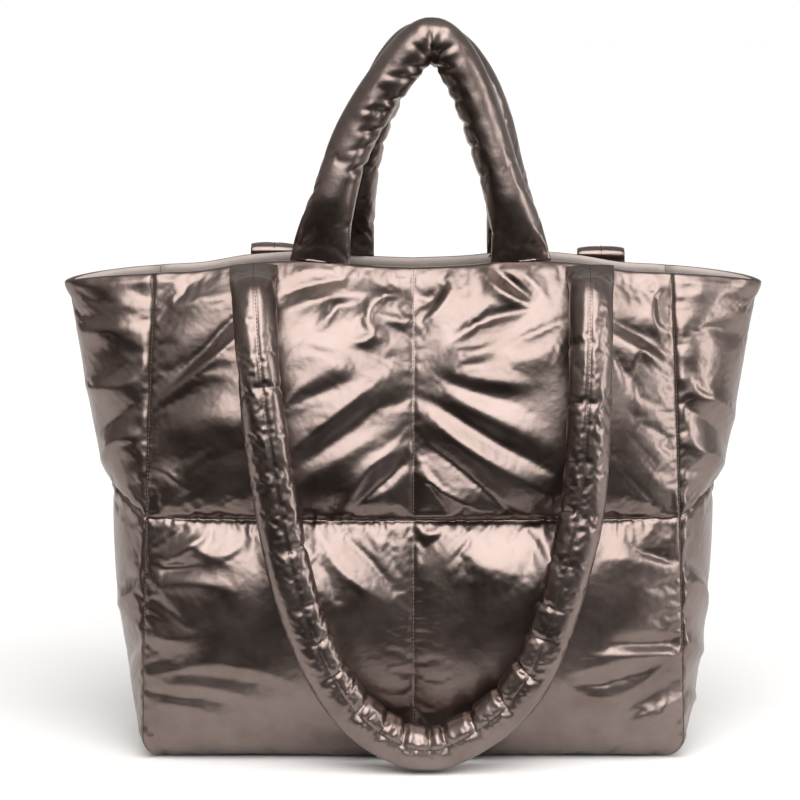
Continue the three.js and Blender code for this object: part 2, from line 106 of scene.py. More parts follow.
def unit(vectors: Array) -> Array:
    """Returns the vectors at length 1."""
    return vectors / np.maximum(np.linalg.norm(vectors, axis=-1, keepdims=True), 1e-9)


@dataclass(frozen=True)
class Fold:
    """A ridge or a crease in the cloth, along a bent line.

    Attributes:
        line: across and up of its start, its middle and its end, in millimetres.
        wide: how far it spreads to each side.
        high: how far it stands out, or how deep it is where negative.
        sharp: how sharp its crest is, from 1, a knife edge, to 2, round.
    """

    line: tuple[float, float, float, float, float, float]
    wide: float
    high: float
    sharp: float = 1.5

    def stand(self, across: Array, up: Array) -> Array:
        """Works out how far the fold lifts the cloth.

        Args:
            across: where each point lies across the cloth, in millimetres.
            up: where each point lies up the cloth, in millimetres.

        Returns:
            The lift of each point, in millimetres.
        """
        x0, z0, x1, z1, x2, z2 = self.line
        share = np.linspace(0.0, 1.0, FOLD_POINTS)[:, None]
        pull = 2 * np.array([x1, z1]) - 0.5 * np.array([x0 + x2, z0 + z2])
        path = (1 - share) ** 2 * [x0, z0] + share**2 * [x2, z2]
        path = path + 2 * share * (1 - share) * pull
        spread = FOLD_REACH * self.wide
        low, high = path.min(axis=0) - spread, path.max(axis=0) + spread
        near = (across > low[0]) & (across < high[0]) & (up > low[1]) & (up < high[1])
        points = np.stack([across[near], up[near]], axis=-1)
        lift = np.zeros(len(points))
        for i in range(len(path) - 1):
            start, step = path[i], path[i + 1] - path[i]
            along = np.clip(((points - start) @ step) / (step @ step), 0.0, 1.0)
            away = np.linalg.norm(points - start - along[:, None] * step, axis=1)
            way = (i + along) / (len(path) - 1)
            fade = np.sin(np.pi * np.clip(FADE_START + FADE_SPAN * way, 0.0, 1.0)) ** FADE_POWER
            lift = np.maximum(lift, fade * np.exp(-((away / self.wide) ** self.sharp)))
        whole = np.zeros(len(across))
        whole[near] = self.high * lift
        return whole


@dataclass(frozen=True)
class Gathers:
    """Small pleats where cloth is drawn in along a line of stitches.

    Attributes:
        pitch: mean distance from one pleat to the next, in millimetres.
        reach: how far the pleats run out from the stitches, in millimetres.
        high: how far they stand out, in millimetres.
        seed: the seed of their irregular places.
    """

    pitch: float
    reach: float
    high: float
    seed: int

    def stand(self, along: Array, away: Array) -> Array:
        """Works out how far the pleats lift the cloth.

        Args:
            along: where each point lies along the stitches, in millimetres.
            away: how far each point is from the stitches, in millimetres.

        Returns:
            The lift of each point, in millimetres.
        """
        chance = np.random.default_rng(self.seed)
        lift = np.zeros(len(along))
        place, end = float(along.min()), float(along.max())
        while place < end:
            place += self.pitch * chance.uniform(*PLEAT_PITCH)
            reach = self.reach * chance.uniform(*PLEAT_REACH)
            wide = self.pitch * chance.uniform(*PLEAT_WIDE)
            slant = chance.uniform(*PLEAT_SLANT)
            high = self.high * chance.uniform(*PLEAT_HIGH)
            near = (np.abs(along - place) < 3 * wide + 0.5 * reach) & (away < 3 * reach)
            aside = (along[near] - place - slant * away[near]) / (wide * (1 + away[near] / reach))
            lift[near] += high * np.exp(-np.abs(aside) ** 1.6 - (away[near] / reach) ** 1.5)
        return lift * (1.0 - np.exp(-away / PLEAT_START))


@dataclass(frozen=True)
class Filling:
    """How hard the filling presses the cloth out, and how much spare cloth there is.

    Attributes:
        pressure: the pressure from inside.
        spare: how much longer each thread is than in the shape that it starts from.
        stretch: how stiff the cloth is to a pull.
        bend: how stiff the cloth is to a bend.
        frames: how many frames it is left to settle.
        reach: how far a point may move from where it starts, in millimetres.
    """

    pressure: float = 3.0
    spare: float = 0.007
    stretch: float = 20.0
    bend: float = 0.05
    frames: int = 18
    reach: float = 9.0

    def settle(self, piece: bpy.types.Object, held: Iterable[int]) -> None:
        """Fills the cloth out and keeps its new shape.

        Args:
            piece: the cloth, at the origin.
            held: the numbers of the vertices that the stitches hold.
        """
        mesh = piece.data
        start = read_places(mesh)
        group = piece.vertex_groups.new(name="held")
        group.add([int(i) for i in held], 1.0, "REPLACE")
        modifier = piece.modifiers.new("filling", "CLOTH")
        cloth = modifier.settings
        cloth.quality = 6
        cloth.mass = 0.05
        cloth.air_damping = 2.0
        cloth.tension_stiffness = cloth.compression_stiffness = self.stretch
        cloth.shear_stiffness = self.stretch / 3
        cloth.bending_stiffness = self.bend
        cloth.vertex_group_mass = group.name
        cloth.use_pressure = True
        cloth.uniform_pressure_force = self.pressure
        cloth.shrink_min = -self.spare
        cloth.effector_weights.gravity = 0.0
        modifier.collision_settings.use_collision = False
        modifier.point_cache.frame_start = 1
        modifier.point_cache.frame_end = self.frames
        for frame in range(1, self.frames + 1):
            bpy.context.scene.frame_set(frame)
        shown = piece.evaluated_get(bpy.context.evaluated_depsgraph_get())
        moved = read_places(shown.data) - start
        piece.modifiers.remove(modifier)
        piece.vertex_groups.remove(group)
        far = np.linalg.norm(moved, axis=1, keepdims=True)
        limit = self.reach * MM
        moved *= limit * np.tanh(far / limit) / np.maximum(far, 1e-9)
        write_places(mesh, start + moved)
        bpy.context.scene.frame_set(1)


def read_places(mesh: bpy.types.Mesh) -> Array:
    """Returns the places of a mesh's vertices, one row each, in metres."""
    places = np.zeros(len(mesh.vertices) * 3, np.float32)
    mesh.vertices.foreach_get("co", places)
    return places.reshape(-1, 3).astype(float)


def write_places(mesh: bpy.types.Mesh, places: Array) -> None:
    """Puts a mesh's vertices in their places.

    Args:
        mesh: the mesh to change.
        places: one row for each vertex, in metres.
    """
    mesh.vertices.foreach_set("co", places.astype(np.float32).ravel())
    mesh.update()


def opened(mesh: bpy.types.Mesh) -> bmesh.types.BMesh:
    """Returns a mesh opened for its operators."""
    bm = bmesh.new()
    bm.from_mesh(mesh)
    return bm


def closed_up(bm: bmesh.types.BMesh, mesh: bpy.types.Mesh) -> bpy.types.Mesh:
    """Keeps an opened mesh's shape, frees it and returns the mesh."""
    bm.to_mesh(mesh)
    bm.free()
    return mesh


def link(name: str, data: bpy.types.ID) -> bpy.types.Object:
    """Returns a new object of a mesh, a lamp or a camera, in the scene and at the origin."""
    made = bpy.data.objects.new(name, data)
    bpy.context.scene.collection.objects.link(made)
    return made


@dataclass
class BagForm:
    """The stitched form of the bag, as it is without its padding."""

    height: float = 348.0
    panel_foot: float = 386.0
    panel_rim: float = 366.0
    gusset: float = 140.0
    mouth: float = 56.0
    base_edge: float = 18.0
    wing_curve: float = 1.4
    wing_fullness: float = 0.25
    quilt_height: float = 174.0
    quilt_rise: float = 20.0
    wall: float = 3.0
    rim_roll: float = 2.6
    panel_puff: float = 16.0
    gusset_puff: float = 12.0
    fold_tightness: float = 0.8
    lining_puff: float = 4.0
    centre_draw: float = 0.5
    # The filling settles, so the fullest line of a row of cells isn't in the row's middle.
    lower_belly: float = 1.35
    upper_belly: float = 0.58
    row_power: float = 2.6
    seam_gap: float = 0.3
    # Near its side edges a wall turns into its neighbour's face and steps back from the seam.
    # The higher the power, the nearer to the edge that starts.
    turn_power: int = 12
    edge_power: int = 40
    rim_line: tuple[tuple[float, float], ...] = (
        (0.0, 0.0),
        (0.14, 0.004),
        (0.3, 0.014),
        (0.46, 0.008),
        (0.6, -0.008),
        (0.72, -0.013),
        (0.86, -0.026),
        (1.0, -0.04),
    )
    bow_line: tuple[tuple[float, float], ...] = ((0.0, 0.02), (0.3, 0.06), (0.7, 0.07), (1.0, 0.043))

    @property
    def wing(self) -> float:
        """How far the gussets stand out past the panels at the rim."""
        return math.sqrt((self.gusset / 2) ** 2 - (self.mouth / 2) ** 2)

    @property
    def arc(self) -> float:
        """Length of the walls' turned-under edge."""
        return self.base_edge * math.pi / 2

    @property
    def wall_length(self) -> float:
        """Length of a wall from the base's seam up to the rim."""
        return self.arc + self.height - self.base_edge

    @property
    def seam_way(self) -> float:
        """Share of the way from a panel's middle to a gusset's fold at which the seam lies."""
        return self.panel_rim / (self.panel_rim + self.gusset)

    def share_at(self, z: Array | float) -> Array | float:
        """Returns the share of the way up a wall at a height above the turned-under edge."""
        return (z - self.base_edge + self.arc) / self.wall_length

    def profile(self, share: Array) -> tuple[Array, Array]:
        """Works out the turned-under edge.

        Args:
            share: the share of the way up a wall.

        Returns:
            The height, and the inset from the wall.
        """
        length = share * self.wall_length
        angle = np.minimum(length, self.arc) / self.base_edge
        z = self.base_edge * (1 - np.cos(angle)) + np.maximum(0.0, length - self.arc)
        return z, self.base_edge * (1 - np.sin(angle))

    def section(self, z: Array) -> tuple[Array, Array, Array, Array]:
        """Works out the bag's cross-section.

        Args:
            z: the height of the section.

        Returns:
            The share of the height, the reach of the wings, half the panel and half the depth.
        """
        up = np.clip(z / self.height, 0.0, 1.0)
        wing = self.wing * up**self.wing_curve
        half = (self.panel_foot + (self.panel_rim - self.panel_foot) * up) / 2
        return up, wing, half, np.sqrt((self.gusset / 2) ** 2 - wing**2)

    def rim_lift(self, z: Array, way: Array) -> Array:
        """Returns how far the rim's line lifts a point, by its way from the middle to the fold."""
        return smooth_line(self.rim_line, way) * self.height * ease(2 * (z / self.height) - 1)

    def panel(self, across: Array, share: Array) -> Array:
        """Places points of the front panel.

        Args:
            across: from -1 at the left seam to 1 at the right seam.
            share: the share of the way up the wall.

        Returns:
            One row for each point.
        """
        z, inset = self.profile(share)
        up, _, half, depth = self.section(z)
        bow = smooth_line(self.bow_line, up) * self.gusset * (1 - across**2)
        lift = self.rim_lift(z, np.abs(across) * self.seam_way)
        return np.stack([across * (half - inset), -(depth - inset + bow), z + lift], axis=-1)

    def side(self, across: Array, share: Array) -> Array:
        """Places points of the right gusset.

        Args:
            across: from -1 at the front seam to 1 at the back seam.
            share: the share of the way up the wall.

        Returns:
            One row for each point.
        """
        z, inset = self.profile(share)
        _, wing, half, depth = self.section(z)
        crease = 1 - across**2
        full = self.wing_fullness * wing / self.wing
        lift = self.rim_lift(z, 1 + (self.seam_way - 1) * np.abs(across))
        x = half - inset + wing * crease
        return np.stack([x, (depth - inset) * across * (1 + full * crease), z + lift], axis=-1)

    def normals(self, surface: Surface, across: Array, share: Array) -> Array:
        """Works out a surface's outward normals, turned into the seams' at its side edges.

        Args:
            surface: the front panel or the right gusset.
            across: from -1 to 1 across the wall.
            share: the share of the way up the wall.

        Returns:
            One unit row for each point.
        """
        own = self._own_normals(surface, across, share)
        edge = np.ones_like(share)
        beside = self._own_normals(self.side, -edge, share)
        seam = unit(self._own_normals(self.panel, edge, share) + beside)
        flip = np.where(across < 0, -1.0, 1.0)
        if surface == self.panel:
            seam[:, 0] *= flip
        else:
            seam[:, 1] *= -flip
        weight = np.abs(across)[:, None] ** self.turn_power
        return unit(own * (1 - weight) + seam * weight)

    @staticmethod
    def _own_normals(surface: Surface, across: Array, share: Array) -> Array:
        """Returns a surface's normals, level at the rim."""
        step = 0.002
        left, right = np.clip(across - step, -1, 1), np.clip(across + step, -1, 1)
        low, high = np.clip(share - step, 0, 1), np.clip(share + step, 0, 1)
        wide = surface(right, share) - surface(left, share)
        tall = surface(across, high) - surface(across, low)
        normal = unit(np.cross(wide, tall))
        normal[:, 2] *= 1 - ease((share - 0.9) / 0.1)
        return unit(normal)

    def edge_step(self, across: Array) -> Array:
        """Returns how far a wall steps back from its side seams, towards its own middle."""
        return np.sign(across) * np.abs(across) ** self.edge_power * self.seam_gap / 2

    def seam_height(self, across: Array, bent: bool) -> Array:
        """Returns the height of the level quilting seam, which climbs to a gusset's fold."""
        return self.quilt_height + (self.quilt_rise * (1 - across**2) if bent else 0.0 * across)

    def fullness(self, across: Array, share: Array, bent: bool) -> Array:
        """Works out how full the padding is.

        Args:
            across: from -1 to 1 across the wall.
            share: the share of the way up the wall.
            bent: whether the wall is a gusset, which is one cell wide.

        Returns:
            From 0 at the stitches to 1 in the middle of a cell.
        """
        z, _ = self.profile(share)
        seam = self.seam_height(across, bent)
        low, high = np.clip(z / seam, 0.0, 1.0), np.clip((z - seam) / (self.height - seam), 0.0, 1.0)
        row = np.where(z < seam, low**self.lower_belly, high**self.upper_belly)
        column = (across + 1) / 2 if bent else np.abs(across)
        draw = np.where((column < 0.5) & (not bent), self.centre_draw, 1.0)
        full = (1 - draw * np.abs(2 * column - 1) ** 3) * (1 - np.abs(2 * row - 1) ** self.row_power)
        if bent:
            crease = 1 - across**2
            full = full * (1 - self.fold_tightness * crease * np.sqrt(self.section(z)[1] / self.wing))
        return full

    def rim_top(self, x: float) -> float:
        """Returns the height of the panel's rim, by distance from the bag's middle."""
        across = np.array([min(1.0, abs(x) / (self.panel_rim / 2))])
        return float(self.panel(across, np.ones(1))[0, 2])

    def rim_middle(self, x: float) -> float:
        """Returns the depth of the middle of the front rim's thickness."""
        across = np.array([x / (self.panel_rim / 2)])
        return float(self.panel(across, np.ones(1))[0, 1]) + (self.wall - self.rim_roll) / 2


def linear(colour: str) -> tuple[float, float, float, float]:
    """Turns an sRGB hex colour into a linear one with its alpha."""
    parts = [int(colour[i : i + 2], 16) / 255 for i in (1, 3, 5)]
    red, green, blue = (p / 12.92 if p <= 0.04045 else ((p + 0.055) / 1.055) ** 2.4 for p in parts)
    return red, green, blue, 1.0


def add_node(
    tree: bpy.types.NodeTree, kind: str, settings: dict | None = None, **links: object
) -> bpy.types.Node:
    """Adds a node with its settings and links.

    Args:
        tree: the node tree.
        kind: the node's type.
        settings: the values of its properties, or of its sockets by name.
        links: the socket that feeds each of its inputs, by the input's name with _ for a space.

    Returns:
        The new node.
    """
    node = tree.nodes.new(kind)
    for name, value in (settings or {}).items():
        if name in node.inputs:
            node.inputs[name].default_value = value
        else:
            setattr(node, name, value)
    for name, source in links.items():
        tree.links.new(source, node.inputs[name.replace("_", " ")])
    return node


def blank_material(name: str) -> tuple[bpy.types.Material, bpy.types.NodeTree, bpy.types.Node]:
    """Returns a new material, its node tree and its shader."""
    material = bpy.data.materials.new(name)
    material.use_nodes = True
    return material, material.node_tree, material.node_tree.nodes["Principled BSDF"]


def colour_between(
    tree: bpy.types.NodeTree,
    source: bpy.types.NodeSocket,
    ends: tuple[float, float],
    colours: Sequence[tuple[float, float, float, float]],
) -> None:
    """Colours a material's shader from one colour to another.

    Args:
        tree: the material's node tree.
        source: the pattern.
        ends: the values of the pattern at which each colour is full.
        colours: the two linear colours, the low one first.
    """
    tone = add_node(tree, "ShaderNodeValToRGB", None, Fac=source)
    for element, end, colour in zip(tone.color_ramp.elements, ends, colours):
        element.position, element.color = end, colour
    tree.links.new(tone.outputs["Color"], tree.nodes["Principled BSDF"].inputs["Base Color"])


def dimmed(colour: str, share: float) -> tuple[float, float, float, float]:
    """Returns a share of an sRGB hex colour as a linear one."""
    red, green, blue, _ = linear(colour)
    return share * red, share * green, share * blue, 1.0


@dataclass(frozen=True)
class MetallicNylon:
    """Plain-woven nylon coated with a thin film of metal pigment, heat-pressed to a gloss.

    The film gives a warm pewter mirror that is blurred by the weave under it: bright, soft-edged
    bands where a fold faces the light and nearly black ones beside them.
    """

    colour: str = "#897B76"
    shade: str = "#776963"
    metallic: float = 1.0
    roughness: float = 0.33
    smoother: float = 0.04  # how far the roughness drops where the film is thin
    rougher: float = 0.05  # and how far it climbs where it is thick

    def build(self) -> bpy.types.Material:
        """Returns the finish as a material."""
        material, tree, shader = blank_material("metal-coated nylon, woven")
        shader.inputs["Metallic"].default_value = self.metallic
        place = add_node(tree, "ShaderNodeTexCoord").outputs["Object"]
        # The film lies a little thicker in some places, over areas of 20 to 40 mm.
        areas = {"Scale": 32.0, "Detail": 3.0, "Roughness": 0.6}
        drift = add_node(tree, "ShaderNodeTexNoise", areas, Vector=place)
        ends = (0.3, 0.7)
        colour_between(tree, drift.outputs["Fac"], ends, (linear(self.shade), linear(self.colour)))
        rub = add_node(
            tree,
            "ShaderNodeMapRange",
            {
                "From Min": ends[0],
                "From Max": ends[1],
                "To Min": self.roughness - self.smoother,
                "To Max": self.roughness + self.rougher,
            },
            Value=drift.outputs["Fac"],
        )
        tree.links.new(rub.outputs["Result"], shader.inputs["Roughness"])
        # Crumples of 8 to 15 mm that stay in the film, and under them the weave's grain, drawn at
        # 1.2 mm because its real 0.3 mm threads are too fine to show.
        creases = {"Scale": 85.0, "Detail": 2.0, "Roughness": 0.5}
        crumple = add_node(tree, "ShaderNodeTexNoise", creases, Vector=place)
        grain = add_node(tree, "ShaderNodeTexNoise", {"Scale": 800.0, "Detail": 1.0}, Vector=place)
        rise = {"Strength": 0.22, "Distance": 0.0022}
        soft = add_node(tree, "ShaderNodeBump", rise, Height=crumple.outputs["Fac"])
        rise = {"Strength": 0.10, "Distance": 0.0003}
        under = soft.outputs["Normal"]
        fine = add_node(tree, "ShaderNodeBump", rise, Height=grain.outputs["Fac"], Normal=under)
        tree.links.new(fine.outputs["Normal"], shader.inputs["Normal"])
        return material


class PanelFolds(Enum):
    """The main folds of a panel, cell by cell, seen from outside the bag."""

    UPPER_LEFT = (
        Fold((-178, 259, -152, 284, -122, 314), 8.5, -4.4),
        Fold((-177, 257, -150, 275, -118, 302), 6.5, 4.0, 1.5),
        Fold((-173, 322, -150, 324, -118, 327), 8.0, 3.0),
        Fold((-96, 311, -59, 325, -10, 330), 8.5, 3.2, 1.5),
        Fold((-96, 326, -59, 338, -20, 340), 8.0, -3.2),
        Fold((-9, 330, -28, 321, -31, 307), 6.0, 3.2, 1.5),
        Fold((-31, 307, -30, 298, -48, 294), 6.0, 3.2, 1.5),
        Fold((-60, 305, -54, 319, -34, 322), 8.0, -3.6),
        Fold((-92, 281, -67, 286, -45, 275), 10.0, 3.0, 1.8),
        Fold((-90, 250, -72, 269, -40, 279), 9.0, 3.0, 1.8),
        Fold((-90, 219, -48, 251, -14, 276), 10.0, 4.5, 1.6),
        Fold((-88, 205, -48, 234, -18, 258), 11.0, -3.0, 1.8),
        Fold((-88, 195, -54, 217, -30, 230), 9.0, 2.0, 1.8),
        Fold((-46, 184, -31, 211, -6, 224), 6.5, 2.9, 1.5),
        Fold((-38, 186, -22, 200, -6, 214), 6.5, -1.8),
        Fold((-42, 182, -18, 196, -6, 208), 8.0, 1.8),
        Fold((-32, 316, -12, 310, 0, 312), 6.0, 2.4),
        Fold((-170, 232, -141, 243, -110, 234), 15.0, 3.0, 2.0),
        Fold((-179, 208, -171, 206, -158, 196), 5.0, 2.4),
    )
    UPPER_RIGHT = (
        Fold((48, 346, 63, 329, 82, 320), 6.0, 3.6, 1.5),
        Fold((58, 346, 71, 335, 83, 327), 6.5, -3.6),
        Fold((72, 346, 84, 336, 92, 322), 6.5, 2.4),
        Fold((27, 338, 22, 323, 7, 309), 6.5, 3.2, 1.5),
        Fold((5, 330, 12, 326, 18, 332), 9.0, -3.6),
        Fold((31, 298, 54, 311, 86, 317), 8.0, -4.5),
        Fold((28, 291, 48, 288, 88, 308), 9.0, 3.6, 1.5),
        Fold((54, 289, 83, 300, 112, 312), 7.5, -3.5),
        Fold((60, 279, 84, 286, 108, 296), 12.0, 3.5, 1.8),
        Fold((22, 279, 47, 270, 75, 267), 8.0, 2.8, 1.6),
        Fold((12, 278, 36, 264, 68, 255), 9.0, -2.6),
        Fold((16, 266, 48, 248, 88, 228), 11.0, 3.8, 1.7),
        Fold((8, 260, 45, 236, 105, 202), 9.0, -3.4, 1.7),
        Fold((10, 248, 40, 224, 96, 192), 9.0, 4.0, 1.6),
        Fold((8, 226, 28, 214, 66, 181), 8.0, -2.6),
        Fold((7, 206, 26, 192, 60, 178), 7.0, 2.9, 1.5),
        Fold((181, 338, 168, 322, 174, 295), 6.5, 2.8, 1.5),
        Fold((139, 309, 158, 300, 174, 289), 7.0, -3.2),
        Fold((139, 300, 152, 292, 172, 286), 8.0, 3.2, 1.5),
        Fold((172, 286, 152, 282, 156, 250), 6.5, 2.8, 1.5),
        Fold((140, 286, 146, 272, 148, 256), 8.0, -2.4),
    )
    LOWER_LEFT = (
        Fold((-158, 158, -136, 149, -118, 160), 6.5, 2.8, 1.5),
        Fold((-178, 139, -157, 154, -146, 162), 5.0, 3.2, 1.5),
        Fold((-180, 141, -168, 139, -150, 141), 6.0, -4.0, 1.5),
        Fold((-178, 133, -150, 130, -119, 126), 9.0, 2.6, 1.5),
        Fold((-184, 62, -122, 72, -66, 49), 8.0, 2.1, 1.5),
        Fold((-160, 66, -110, 62, -76, 49), 8.0, -1.9),
        Fold((-184, 54, -140, 56, -100, 43), 8.0, 1.9, 1.5),
        Fold((-184, 48, -140, 48, -104, 37), 6.5, -1.3),
        Fold((-184, 42, -150, 40, -120, 24), 8.0, 1.8, 1.5),
        Fold((-96, 158, -84, 142, -66, 118), 15.0, 4.0, 1.8),
        Fold((-56, 168, -34, 150, -16, 128), 9.0, -2.1),
        Fold((-62, 152, -40, 132, -20, 120), 8.0, 2.6, 1.6),
        Fold((-182, 91, -166, 90, -150, 94), 9.0, 2.0),
    )
    LOWER_RIGHT = (
        Fold((188, 136, 157, 146, 124, 146), 8.0, 2.2, 1.5),
        Fold((190, 143, 172, 147, 154, 153), 6.0, -2.8),
        Fold((190, 84, 162, 86, 140, 88), 6.0, -3.2, 1.5),
        Fold((190, 78, 160, 80, 138, 82), 6.0, 2.4),
        Fold((108, 66, 136, 75, 176, 78), 8.0, 1.8, 1.5),
        Fold((108, 60, 136, 50, 178, 72), 8.0, 1.8, 1.5),
        Fold((114, 62, 138, 61, 168, 70), 8.0, -1.3),
        Fold((192, 38, 167, 32, 148, 18), 6.0, 2.8, 1.5),
        Fold((192, 46, 172, 40, 150, 29), 6.0, 2.4, 1.5),
        Fold((1, 174, 10, 165, 20, 171), 4.5, 2.4, 1.5),
        Fold((24, 166, 60, 140, 108, 150), 14.0, 3.6, 1.8),
        Fold((84, 168, 96, 150, 98, 122), 12.0, 3.0, 1.8),
    )


FAR = 1e3  # a distance at which no pleat reaches a point, in millimetres
FIRST_STITCHED = 4  # the row of a wall's grid from which its upright stitches show
STITCHED_FLAT = 1.4  # how wide the stitches hold the cloth flat, in millimetres
FOLD_FULLNESS = 4  # a fold reaches its whole height where the padding is a quarter full
HEM_START, HEM_SHARE = 0.94, 0.06  # where on the way up a wall its hem rolls out
# The columns of a lining's grid, and its rows below and above the quilting seam.
PANEL_LINING, GUSSET_LINING = (60, 28, 28), (24, 28, 28)
# The pleats along the side seams, with 1 for the left edge and -1 for the right one.
PANEL_GATHERS = ((Gathers(8.0, 5.0, 0.8, 3), 1), (Gathers(8.0, 5.0, 0.8, 5), -1))
GUSSET_GATHERS = ((Gathers(6.5, 4.5, 0.55, 15), 1), (Gathers(6.5, 4.5, 0.55, 17), -1))
GUSSET_PLEATS = ((Gathers(19.0, 18.0, 1.6, 19), 1), (Gathers(19.0, 18.0, 1.6, 23), -1))
# The pleats below and above the quilting seam, under the rim and along the upright seam.
BELOW_GATHERS = Gathers(6.0, 7.0, 1.7, 7)
ABOVE_GATHERS = Gathers(6.5, 4.5, 1.2, 9)
RIM_GATHERS = Gathers(14.0, 8.0, 1.2, 11)
CENTRE_GATHERS = Gathers(8.0, 6.0, 0.7, 13)
# The folds of a gusset, seen from outside the bag. Across runs from its front seam to its back one.
GUSSET_FOLDS: tuple[Fold, ...] = (
    Fold((-66, 300, -44, 303, -18, 296), 8.0, -2.2, 1.8),
    Fold((-66, 262, -42, 252, -12, 238), 8.0, 3.0),
    Fold((-66, 250, -44, 238, -20, 222), 7.0, -2.6),
    Fold((-66, 226, -46, 216, -14, 204), 8.0, 2.8),
    Fold((66, 306, 40, 302, 16, 300), 8.0, 2.4, 1.8),
    Fold((66, 270, 42, 262, 14, 262), 8.0, 2.8),
    Fold((66, 256, 44, 242, 20, 232), 7.0, -2.6),
    Fold((66, 232, 46, 224, 16, 206), 8.0, 2.8),
    Fold((-66, 140, -42, 132, -16, 114), 7.0, -3.0),
    Fold((-66, 128, -42, 121, -20, 100), 7.0, 2.8),
    Fold((66, 124, 44, 112, 20, 104), 8.0, 2.8),
    Fold((66, 84, 46, 76, 18, 64), 7.0, -3.0),
    Fold((-66, 84, -46, 76, -16, 72), 8.0, 2.8),
    Fold((-66, 44, -42, 40, -16, 32), 7.0, 2.4),
)


@dataclass
class PaddedWall:
    """One padded wall of the bag: quilted cloth outside, lining inside, closed at its edges.

    Attributes:
        form: the bag's stitched form.
        name: the piece's name, which is also its solid's.
        bent: whether it is a gusset, which folds outwards, rather than a panel.
        step: distance between the threads that are simulated, in millimetres.
        keep_folds: the share of the folds that is laid on again once the cloth is filled out.
        filling: how the cloth is filled out.
        cloth: the places of the finished outside, by row and column.
    """

    form: BagForm
    name: str
    bent: bool = False
    step: float = 3.0
    keep_folds: float = 0.3
    filling: Filling = field(default_factory=Filling)
    cloth: Array = field(default_factory=lambda: np.zeros((0, 0, 3)))

    @property
    def surface(self) -> Surface:
        """The stitched surface that the wall is made on."""
        return self.form.side if self.bent else self.form.panel

    def grid(self, columns: int, low: int, high: int) -> tuple[Array, Array]:
        """Lays a grid out so that one of its rows follows the quilting seam.

        Args:
            columns: how many cells there are across.
            low: how many rows there are below the quilting seam.
            high: how many rows there are above it.

        Returns:
            The place across and the share of the way up of each point, row by row.
        """
        across = np.linspace(-1.0, 1.0, columns + 1)
        seam = self.form.share_at(self.form.seam_height(across, self.bent))
        rows = [seam * j / low for j in range(low)]
        rows += [seam + (1 - seam) * j / high for j in range(high + 1)]
        return np.tile(across, low + high + 1), np.concatenate(rows)

    def plane(self, across: Array, share: Array) -> tuple[Array, Array]:
        """Returns where points lie across and up the wall, seen from outside, in millimetres."""
        place = self.surface(across, share)
        return (across * self.form.gusset / 2 if self.bent else place[:, 0]), place[:, 2]

    def folds(self, across: Array, share: Array, full: Array) -> Array:
        """Returns how far the folds lift the cloth, in millimetres, where it is full enough."""
        x, z = self.plane(across, share)
        table = GUSSET_FOLDS if self.bent else [fold for cell in PanelFolds for fold in cell.value]
        return sum(fold.stand(x, z) for fold in table) * np.minimum(1.0, FOLD_FULLNESS * full)

    def gathers(self, across: Array, share: Array) -> Array:
        """Returns how far the pleats along the stitches lift the cloth, in millimetres."""
        form = self.form
        z, _ = form.profile(share)
        seam = form.seam_height(across, self.bent)
        half = form.gusset / 2 if self.bent else form.section(z)[2]
        x = across * half
        sides = (GUSSET_GATHERS + GUSSET_PLEATS) if self.bent else PANEL_GATHERS
        lift = sum(rows.stand(z, (1 + side * across) * half) for rows, side in sides)
        lift += BELOW_GATHERS.stand(x, np.where(z < seam, seam - z, FAR))
        lift += ABOVE_GATHERS.stand(x, np.where(z > seam, z - seam, FAR))
        lift += RIM_GATHERS.stand(x, form.height - z)
        if not self.bent:
            lift += CENTRE_GATHERS.stand(z, np.abs(x))
        edge = np.minimum(np.minimum(half - np.abs(x), np.abs(z - seam)), form.height - z)
        return lift * np.clip(edge / STITCHED_FLAT, 0.0, 1.0)

    def outside(self) -> Array:
        """Returns the quilted cloth, filled out, as a grid of places in millimetres."""
        form = self.form
        wide = form.gusset if self.bent else form.panel_foot
        columns = 2 * round(wide / self.step / 2)
        low = round(form.share_at(form.quilt_height) * form.wall_length / self.step)
        high = round((1 - form.share_at(form.quilt_height)) * form.wall_length / self.step)
        across, share = self.grid(columns, low, high)
        full = form.fullness(across, share, self.bent)
        puff = form.gusset_puff if self.bent else form.panel_puff
        stand = puff * full + self.folds(across, share, full)
        stand += form.rim_roll * ease((share - HEM_START) / HEM_SHARE)
        start = self.surface(across, share) + form.normals(self.surface, across, share) * stand[:, None]
        shape = (low + high + 1, columns + 1, 3)
        column = np.tile(np.arange(columns + 1), shape[0])
        row = np.repeat(np.arange(shape[0]), columns + 1)
        held = (column == 0) | (column == columns)
        held |= (row == 0) | (row >= low + high - 1) | (row == low)
        if not self.bent:
            held |= column == columns // 2
        cloth = sheet("cut cloth", columns, low + high, start * MM)
        self.filling.settle(cloth, np.flatnonzero(held))
        start = read_places(cloth.data) / MM
        bpy.data.objects.remove(cloth)
        places = finer(start.reshape(shape))
        across, share = self.grid(2 * columns, 2 * low, 2 * high)
        full = form.fullness(across, share, self.bent)
        relief = self.gathers(across, share) + self.keep_folds * self.folds(across, share, full)
        places += grid_normals(places) * relief.reshape(places.shape[:2])[..., None]
        places[..., 1 if self.bent else 0] -= form.edge_step(across).reshape(places.shape[:2])
        places[..., 2] = np.maximum(places[..., 2], 0.0)
        return places

    def build(self, nylon: bpy.types.Material, lining: bpy.types.Material) -> bpy.types.Object:
        """Makes the wall.

        Args:
            nylon: its cloth outside.
            lining: its cloth inside.

        Returns:
            The finished piece.
        """
        places = self.outside()
        rows, columns, _ = places.shape
        piece = sheet(self.name + "_cloth", columns - 1, rows - 1, places.reshape(-1, 3) * MM)
        close_wall(piece, self)
        self.cloth = places
        return dress(piece, self.name, nylon, lining)

